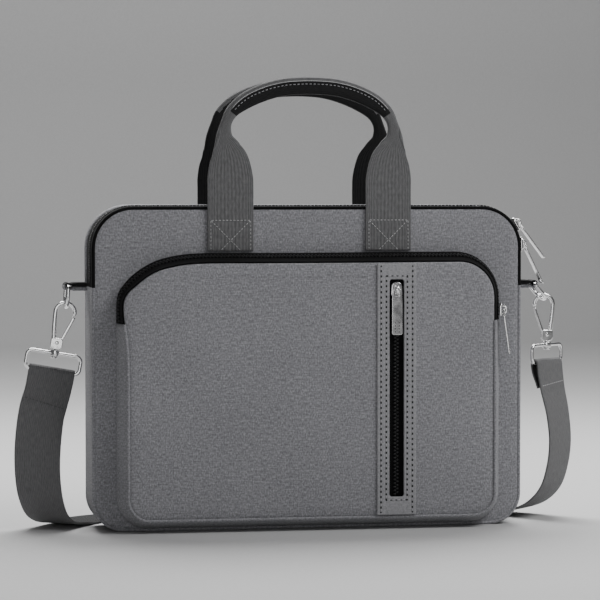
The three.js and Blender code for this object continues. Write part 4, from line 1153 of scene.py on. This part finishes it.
print("sliders", ", ".join(SLIDERS))

# %% [markdown]
# ## Handles
# Each handle is one length of webbing, grey outside and black inside. Its legs lie flat on the
# panel, and on the way up the webbing is folded along its length until it is a round grip. The
# section is a flattened oval whose width, thickness and squareness change from row to row.

# %% The handles
HANDLE_FACE = 28.8
LEG_BOTTOM = box("front_handle_end_left")[0][2]
HANDLE_STATIONS = [
    (-66, LEG_BOTTOM - BODY_TOP, 38, 2), (-66, -20, 38, 2), (-66, 0.7, 38, 2), (-66, 14, 38, 2),
    (-66.2, 24, 37.6, 2),
    (-67, 38, 31.9, 2.6), (-69, 48, 22.8, 3.6), (-71, 58, 13.3, 5), (-69.5, 68, 9, 6), (-65, 77, 10.5, 6.6),
    (-54, 86, 13.5, 7), (-38, 93.4, 14.4, 7), (-22, 97.6, 14.4, 7), (-7, 98.9, 14.4, 7),
]
GRIP_TOP = 3.4  # grey webbing above the seam of the grip


def handle_rows(count=260):
    """The handle's middle line and its section's sizes: the left half and its mirror image."""
    half = np.array(HANDLE_STATIONS, float)
    whole = np.concatenate([half, half[::-1] * (-1, 1, 1, 1)])
    rows = through(whole, count)[0]
    rows[:, 1] += BODY_TOP
    return rows


def handle_frame(rows, sign):
    """Middles, the direction out of the arch, and the direction away from the bag, for each row."""
    run = unit(np.gradient(rows[:, :2], axis=0))
    middle = np.stack([rows[:, 0], np.full(len(rows), sign * HANDLE_FACE), rows[:, 1]], -1)
    arch_out = np.stack([-run[:, 1], np.zeros(len(rows)), run[:, 0]], -1)
    return middle, arch_out, np.array([0, sign, 0])


def make_handle(side, sign):
    """One handle with its seam line and its grip stitches."""
    body = f"{side}_handle"
    rows = handle_rows()
    middle, arch_out, away = handle_frame(rows, sign)
    width, thick = rows[:, 2], rows[:, 3]
    flat = np.clip((width - 14) / 14, 0, 1)
    u, v = section_ring(width, thick, 3 + 7 * flat, 64)
    folded = np.interp(rows[:, 1], np.array([34, 40, 58, 77]) + BODY_TOP, [20, 17, 3.4, 7])
    height = rows[:, 1] - BODY_TOP
    inside_arch = np.clip((height - 36) / 6, 0, 1) * np.clip((80 - height) / 6, 0, 1)
    lap = 0.7 * np.clip((u - folded[:, None]) / 0.5, 0, 1) * inside_arch[:, None] * (v > 0)
    grid = middle[:, None] + u[..., None] * arch_out[:, None] + (v + lap)[..., None] * away
    strap = surface(f"{side}_handle_webbing", grid)
    gripped = (rows[:, 1] > BODY_TOP + 76)[:-1, None]
    upper_part = ((u + np.roll(u, -1, 1)) / 2 > (width / 2 - GRIP_TOP)[:, None])[:-1]
    outer = ((v + np.roll(v, -1, 1)) > 0)[:-1]
    black = np.where(gripped, ~upper_part, ~outer).ravel()
    two_tone(strap, WEBBING, WEBBING_INSIDE, black)
    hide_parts(f"{side}_handle_loop", f"{side}_handle_end_left", f"{side}_handle_end_right")
    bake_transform(strap)
    grip = np.flatnonzero((rows[:, 1] > BODY_TOP + 77) & (np.abs(rows[:, 0]) < 64))
    edge_u = width[grip] / 2 - GRIP_TOP

    def on_grip(u_place):
        """Points on the grip's round side away from the bag, at places between its inner and outer edge."""
        outline = 1 - np.clip(np.abs(u_place) / (width[grip] / 2), 0, 1) ** 3
        rise = thick[grip] / 2 * outline ** (1 / 3)
        return middle[grip] + u_place[:, None] * arch_out[grip] + rise[:, None] * away

    seam = surface(f"{side}_grip_seam", on_grip(edge_u)[:, None] + cord_around(arch_out[grip], away, 0.3))
    finish(seam, THREAD, "webbing", body)
    stitch_line = on_grip(edge_u - 2.6)
    outs = np.broadcast_to(away, stitch_line.shape).astype(float)
    stitches(f"{side}_grip_stitches", *spaced(stitch_line, outs, 3.4), GREY_THREAD, body, 2.2, 0.7, False)
    return strap


def cord_around(one_way, other_way, radius, count=8):
    """Offsets of a thin round cord from its line, between two directions."""
    angle = np.linspace(0, 2 * np.pi, count, endpoint=False)
    one = one_way[:, None] * np.cos(angle)[:, None]
    other = np.broadcast_to(other_way, one_way.shape)[:, None] * np.sin(angle)[:, None]
    return radius * (one + other)


for side, sign in (("front", -1), ("rear", 1)):
    made = make_handle(side, sign)
    for leg in (-66, 66):
        top, cut, half = 254.5, LEG_BOTTOM + 0.6, 16.5
        reach = half - (top - cut)
        lines = [((-half, top), (half, top)), ((-half, top), (-half, cut)), ((half, top), (half, cut)),
                 ((-half, top), (-reach, cut)), ((half, top), (reach, cut))]
        for k, ends in enumerate(lines):
            stood, out = upright(np.array(ends) + (leg, 0), sign * (HANDLE_FACE + 1.0))
            row = spaced(stood, out * -sign, 3.0)
            stitches(f"{side}_box_{'left' if leg < 0 else 'right'}_{k}", *row, THREAD, "root", 2.1, 0.7, False)
print("handles", len(made.data.polygons), "faces each")

# %% [markdown]
# ## The strap's hardware
# On each side a cloth tab holds a D-ring, and a snap hook hangs in the D-ring. The hook turns on a
# swivel in the middle of the strap's ring. The ring's wire stops inside the barrel of the swivel, as
# it does in the cast part.


# %% Tabs, rings and hooks
def d_path():
    """The D-ring's centre line in (across, along): a straight bar, two sides and half an ellipse."""
    turn = np.linspace(0, np.pi, 40)
    bow = np.stack([12.5 * np.cos(turn), -8.5 - 8.5 * np.sin(turn)], -1)
    up = line((-12.5, -8.5), (-12.5, -2), (0, 1), 6)[0]
    corner_turn = np.linspace(np.pi, np.pi / 2, 7)
    left_corner = np.stack([-10.5 + 2 * np.cos(corner_turn), -2 + 2 * np.sin(corner_turn)], -1)
    bar = line((-10.5, 0), (10.5, 0), (0, 1), 16)[0]
    right_corner = left_corner[::-1] * (-1, 1)
    down = line((12.5, -2), (12.5, -8.5), (0, 1), 6)[0]
    return np.concatenate([bow, up, left_corner, bar, right_corner, down])


def flat_path(points):
    """Points (across, along) with nothing outwards."""
    return np.concatenate([points, np.zeros((len(points), 1))], -1)


def strap_ring_path():
    """Right half, bottom bar and left half joined into one line."""
    quarter = np.radians(np.linspace(90, 0, 9))
    half, top, low, r = 22.5, -3.1, -18.1, 4.5
    upper = np.stack([half - r + r * np.cos(quarter), top - r + r * np.sin(quarter)], -1)
    lower = np.stack([half - r + r * np.cos(quarter), low + r - r * np.sin(quarter)], -1)[::-1]
    right = np.concatenate([line((1.2, top), (half - r, top), (0, 1), 14)[0], upper,
                            line((half, top - r), (half, low + r), (0, 1), 6)[0], lower])
    bottom = line((half - r, low), (-half + r, low), (0, 1), 24)[0]
    return np.concatenate([right, bottom, (right * (-1, 1))[::-1]])


def hook_path():
    """The hook's centre line: up the spine, over the loop and down to the nose."""
    turn = np.radians(np.linspace(0, 193, 46))
    loop = np.stack([-2.7 + 8.05 * np.cos(turn), 31.3 + 8.05 * np.sin(turn)], -1)
    spine = through([(2.6, 5.0), (3.0, 9.5), (3.9, 16), (4.75, 23.5), (5.35, 31.3)], 24)[0]
    return np.concatenate([spine[:-1], loop])


def hardware(name, side, swing, hang_frame, ring_across):
    """One side's tab, D-ring, hook, gate, swivel and strap ring."""
    swing_body, hook_body, gate_body = f"{name}_swing", f"{name}_hook", f"{name}_gate"
    angle = math.radians(swing)
    bar = (side * 197, 4.5, 200)
    d_frame = (bar, (0, 1, 0), (-side * math.sin(angle), 0, math.cos(angle)),
               (side * math.cos(angle), 0, math.sin(angle)))
    ring = wire_grid(flat_path(d_path()), (0, 0, 1), 3, 3, 2.4, closed=True)
    fitting(f"{name}_d_ring_wire", ring, d_frame, swing_body, f"{name}_d_ring", wrap_rows=True)

    turn = np.linspace(-np.pi / 2, np.pi / 2, 20)
    fold = np.concatenate([
        line((-16.8, -1.75), (-3, -1.75), (0, 1), 10)[0],
        line((-3, -1.75), (0, -2.75), (0, 1), 3)[0],
        np.stack([2.75 * np.cos(turn), 2.75 * np.sin(turn)], -1),
        line((0, 2.75), (-3, 1.75), (0, 1), 3)[0],
        line((-3, 1.75), (-16.8, 1.75), (0, 1), 10)[0],
    ])
    layer = np.where(np.abs(fold[:, 1]) < 1.8, 3.4, 1.4) * (fold[:, 0] < -1.5) + 1.4 * (fold[:, 0] >= -1.5)
    tab_frame = (bar, (side, 0, 0), (0, 0, 1), (0, 1, 0))
    layers = wire_grid(flat_path(fold), (0, 0, 1), layer, 20, 7, count=24)
    tab = surface(f"{name}_tab_webbing", placed(layers, tab_frame))
    two_tone(tab, CLOTH, WEBBING_INSIDE, np.repeat(fold[1:, 1] > 1.2, 24))
    finish(tab, [], "cloth", "root", f"{name}_ring_tab")

    way = hook_path()
    step, nose = np.arange(len(way)), len(way) - 4
    width = np.interp(step, [0, 10, 24, nose, nose + 3], [4.0, 3.9, 3.3, 3.2, 1.4])
    thick = np.interp(step, [0, nose, nose + 3], [4, 3.8, 1.8])
    bent = wire_grid(flat_path(way), (0, 0, 1), width, thick, 2.6, count=20)
    fitting(f"{name}_hook_wire", bent, hang_frame, hook_body, f"{name}_hook_frame")
    outline = rounded_loop(4.9, 0, 9.4, 1.8, 3.4, 0, (8, 10, 12))
    for where, (low_y, high_y) in {"front": (-2.1, -1.0), "back": (1.0, 2.1)}.items():
        fitting(f"{name}_hook_{where}_cheek", plate_grid(outline, low_y, high_y, 0.5), hang_frame, hook_body)
    core = plate_grid(rounded_loop(4.3, 0.3, 3.9, 1, 2.6, 0, (6, 6, 8)), -1.2, 1.2, 0.3)
    fitting(f"{name}_hook_core", core, hang_frame, hook_body)
    rivet_half = [(0.05, -2.55), (1.0, -2.5), (1.5, -2.3), (1.6, -2.0)]
    rivet = turned_grid(rivet_half + [(r, -h) for r, h in rivet_half[::-1]], 20)
    rivet_frame = (np.array(placed(np.array([[-0.2, 5.6, 0.0]]), hang_frame))[0], *hang_frame[1:])
    turned_way = (rivet_frame[0], rivet_frame[1], rivet_frame[3], rivet_frame[2])
    fitting(f"{name}_hook_rivet", rivet, turned_way, hook_body)

    blade = np.array([(-3.0, 6.6), (-4.7, 11), (-6.8, 17), (-8.9, 22.8), (-10.6, 28.3)])
    gate = wire_grid(flat_path(through(blade, 24)[0]), (0, 0, 1), 2.4, 1.6, 3)
    fitting(f"{name}_gate_blade", gate, hang_frame, gate_body, f"{name}_hook_gate")

    shaft = [(0.05, 0.6), (1.6, 0.5), (1.6, -5.75), (2.2, -5.9), (2.7, -6.2), (2.7, -7.0), (2.2, -7.35),
             (0.05, -7.5)]
    fitting(f"{name}_swivel_rivet", turned_grid(shaft, 24), hang_frame, hook_body, f"{name}_swivel_pin")
    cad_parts[f"{name}_gate_pin"].data.materials[0] = NICKEL

    ring_frame = (hang_frame[0], ring_across, hang_frame[2], np.cross(ring_across, hang_frame[2]))
    wire = wire_grid(flat_path(strap_ring_path()), (0, 0, 1), 3, 3, 2.4)
    fitting(f"{name}_strap_ring_wire", wire, ring_frame, swing_body, f"{name}_strap_ring")
    barrel = turned_grid(rounded_profile(1.95, 3.5, -5.6, -0.5, 0.45))
    fitting(f"{name}_swivel_barrel", barrel, ring_frame, swing_body, wrap_rows=True)


LEAN = math.radians(10)
LEFT_UP = (math.sin(LEAN), 0, math.cos(LEAN))
LEFT_HANG = ((-206.783, 4.5, 148.138), (-math.cos(LEAN), 0, math.sin(LEAN)), LEFT_UP, (0, -1, 0))
hardware("left", -1, 3, LEFT_HANG, (math.cos(LEAN), 0, -math.sin(LEAN)))
YAW = math.radians(42)
RIGHT_HANG = ((210.627, 4.5, 151.077), (1, 0, 0), (0, 0, 1), (0, 1, 0))
hardware("right", 1, 40, RIGHT_HANG, (math.cos(YAW), math.sin(YAW), 0))

# %% The sliding buckle
BUCKLE_AT = ((10, 75, 4.2), (1, 0, 0), (0, 1, 0), (0, 0, 1))
frame_loop = rounded_loop(13, -23.5, 23.5, 4, 4, 0, SMALL)
window = rounded_loop(9, -19.5, 19.5, 1.5, 1.5, 0, SMALL)
buckle_grid = plate_grid(frame_loop, -1.2, 1.2, 0.8, window)
buckle = fitting("buckle_frame", buckle_grid, BUCKLE_AT, "adjuster", "strap_adjuster", wrap_rows=True)
bar_line = np.array([(0, y, 0) for y in np.linspace(-20.5, 20.5, 12)])
bar = fitting("buckle_bar", wire_grid(bar_line, (0, 0, 1), 4, 2.2, 3), BUCKLE_AT, "adjuster")
x = np.linspace(-98.3, -3.3, 40)
u, v = section_ring(np.full(40, 38.0), np.full(40, 1.7), np.full(40, 9.0))
grid = np.stack([np.broadcast_to(x[:, None], u.shape), 75 + u, 3.9 + v], -1)
finish(surface("strap_doubled_end", grid), WEBBING, "webbing", "adjuster", "strap_doubled_layer")
ends = np.array([(-94.5, 57.5, 4.8), (-94.5, 92.5, 4.8)])
up = np.array([(0.0, 0, 1), (0, 0, 1)])
stitches("doubled_end_stitches", *spaced(ends, up, 3.2), THREAD, "adjuster", 2.3, 0.7, False)

# %% Stitches across the strap's two halves
# the left half's stitches take the darker copy of the thread, as painted shade
for name, side_rows, at, thread, swing in (("left", left_rows, 64, SHADED_THREAD, "left_swing"),
                                           ("right", right_rows, 53, THREAD, "right_swing")):
    row = side_rows[at]
    ends = route[row] + np.array([[-17.0], [17.0]]) * across[row] + 0.95 * outwards[row]
    facing = np.array([outwards[row], outwards[row]])
    seam = beads(f"strap_{name}_stitches", *spaced(ends, facing, 3.0), (2.2, 0.8, 0.8))
    seam.data.materials.append(thread)
    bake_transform(seam)

# %% [markdown]
# ## The floor and the light
# The floor is one sheet that curves up far behind the bag, so there is no edge to see. A soft light
# high on the right gives the shape, and a card in front, a little to the left, opens the shadows and
# brightens the nickel. One light above and behind lights the top and the floor, one lights the wall,
# and the world adds an even grey.


# %% The studio
def stage_sheet(start=-3200, depth=2700, height=2600, bend=500, count=40, half=3200):
    """A floor that turns up into a wall: a straight, a quarter circle and a straight, extruded sideways."""
    turn = np.linspace(0, np.pi / 2, count)
    y = np.concatenate([[start], depth + bend * np.sin(turn), [depth + bend]])
    z = np.concatenate([[0], bend * (1 - np.cos(turn)), [height]]) - 0.2
    rows = np.stack([y, z], -1)
    points = np.concatenate([np.insert(rows, 0, side * half, axis=1) for side in (-1, 1)])
    k = np.arange(len(rows) - 1)
    faces = np.stack([k, k + len(rows), k + len(rows) + 1, k + 1], -1)
    mesh = bpy.data.meshes.new("studio_sheet")
    mesh.from_pydata((points * MM).tolist(), [], faces.tolist())
    mesh.polygons.foreach_set("use_smooth", np.ones(len(faces), bool))
    sheet = bpy.data.objects.new("studio_sheet", mesh)
    bpy.context.collection.objects.link(sheet)
    return sheet


floor = stage_sheet()
PAPER = speckled("matt_studio_paper", "#bebebe", "#c2c2c2", 3 * MM, 0.9, 0.02)
floor.data.materials.append(PAPER)


def soft_light(name, place, aim, size, power):
    """A rectangular light that faces a point. Sizes are in metres and the power in watts."""
    lamp = bpy.data.lights.new(name, "AREA")
    lamp.shape = "RECTANGLE"
    lamp.size, lamp.size_y = size
    lamp.energy = power
    holder = bpy.data.objects.new(name, lamp)
    direction = unit(np.array(aim, float) - np.array(place, float))
    yaw = math.atan2(direction[0], -direction[1])
    tip = math.acos(-direction[2])
    holder.rotation_euler = (tip, 0, math.pi + yaw)
    holder.location = np.array(place) * MM
    bpy.context.collection.objects.link(holder)
    return holder


soft_light("key_light", (750, -600, 1050), (0, 0, 180), (0.6, 0.6), 10)
soft_light("front_card", (-440, -2550, 420), (0, 0, 180), (1.2, 1.1), 9)
soft_light("top_light", (100, 650, 1250), (0, 0, 0), (1.4, 0.8), 40)
soft_light("wall_light", (0, 1500, 2000), (0, 3200, 500), (3.0, 0.8), 33)
world = bpy.data.worlds.new("studio_world")
bpy.context.scene.world = world
world.use_nodes = True
world.node_tree.nodes["Background"].inputs["Color"].default_value = linear("#b8b8ba")
world.node_tree.nodes["Background"].inputs["Strength"].default_value = 0.2
print("lights set")
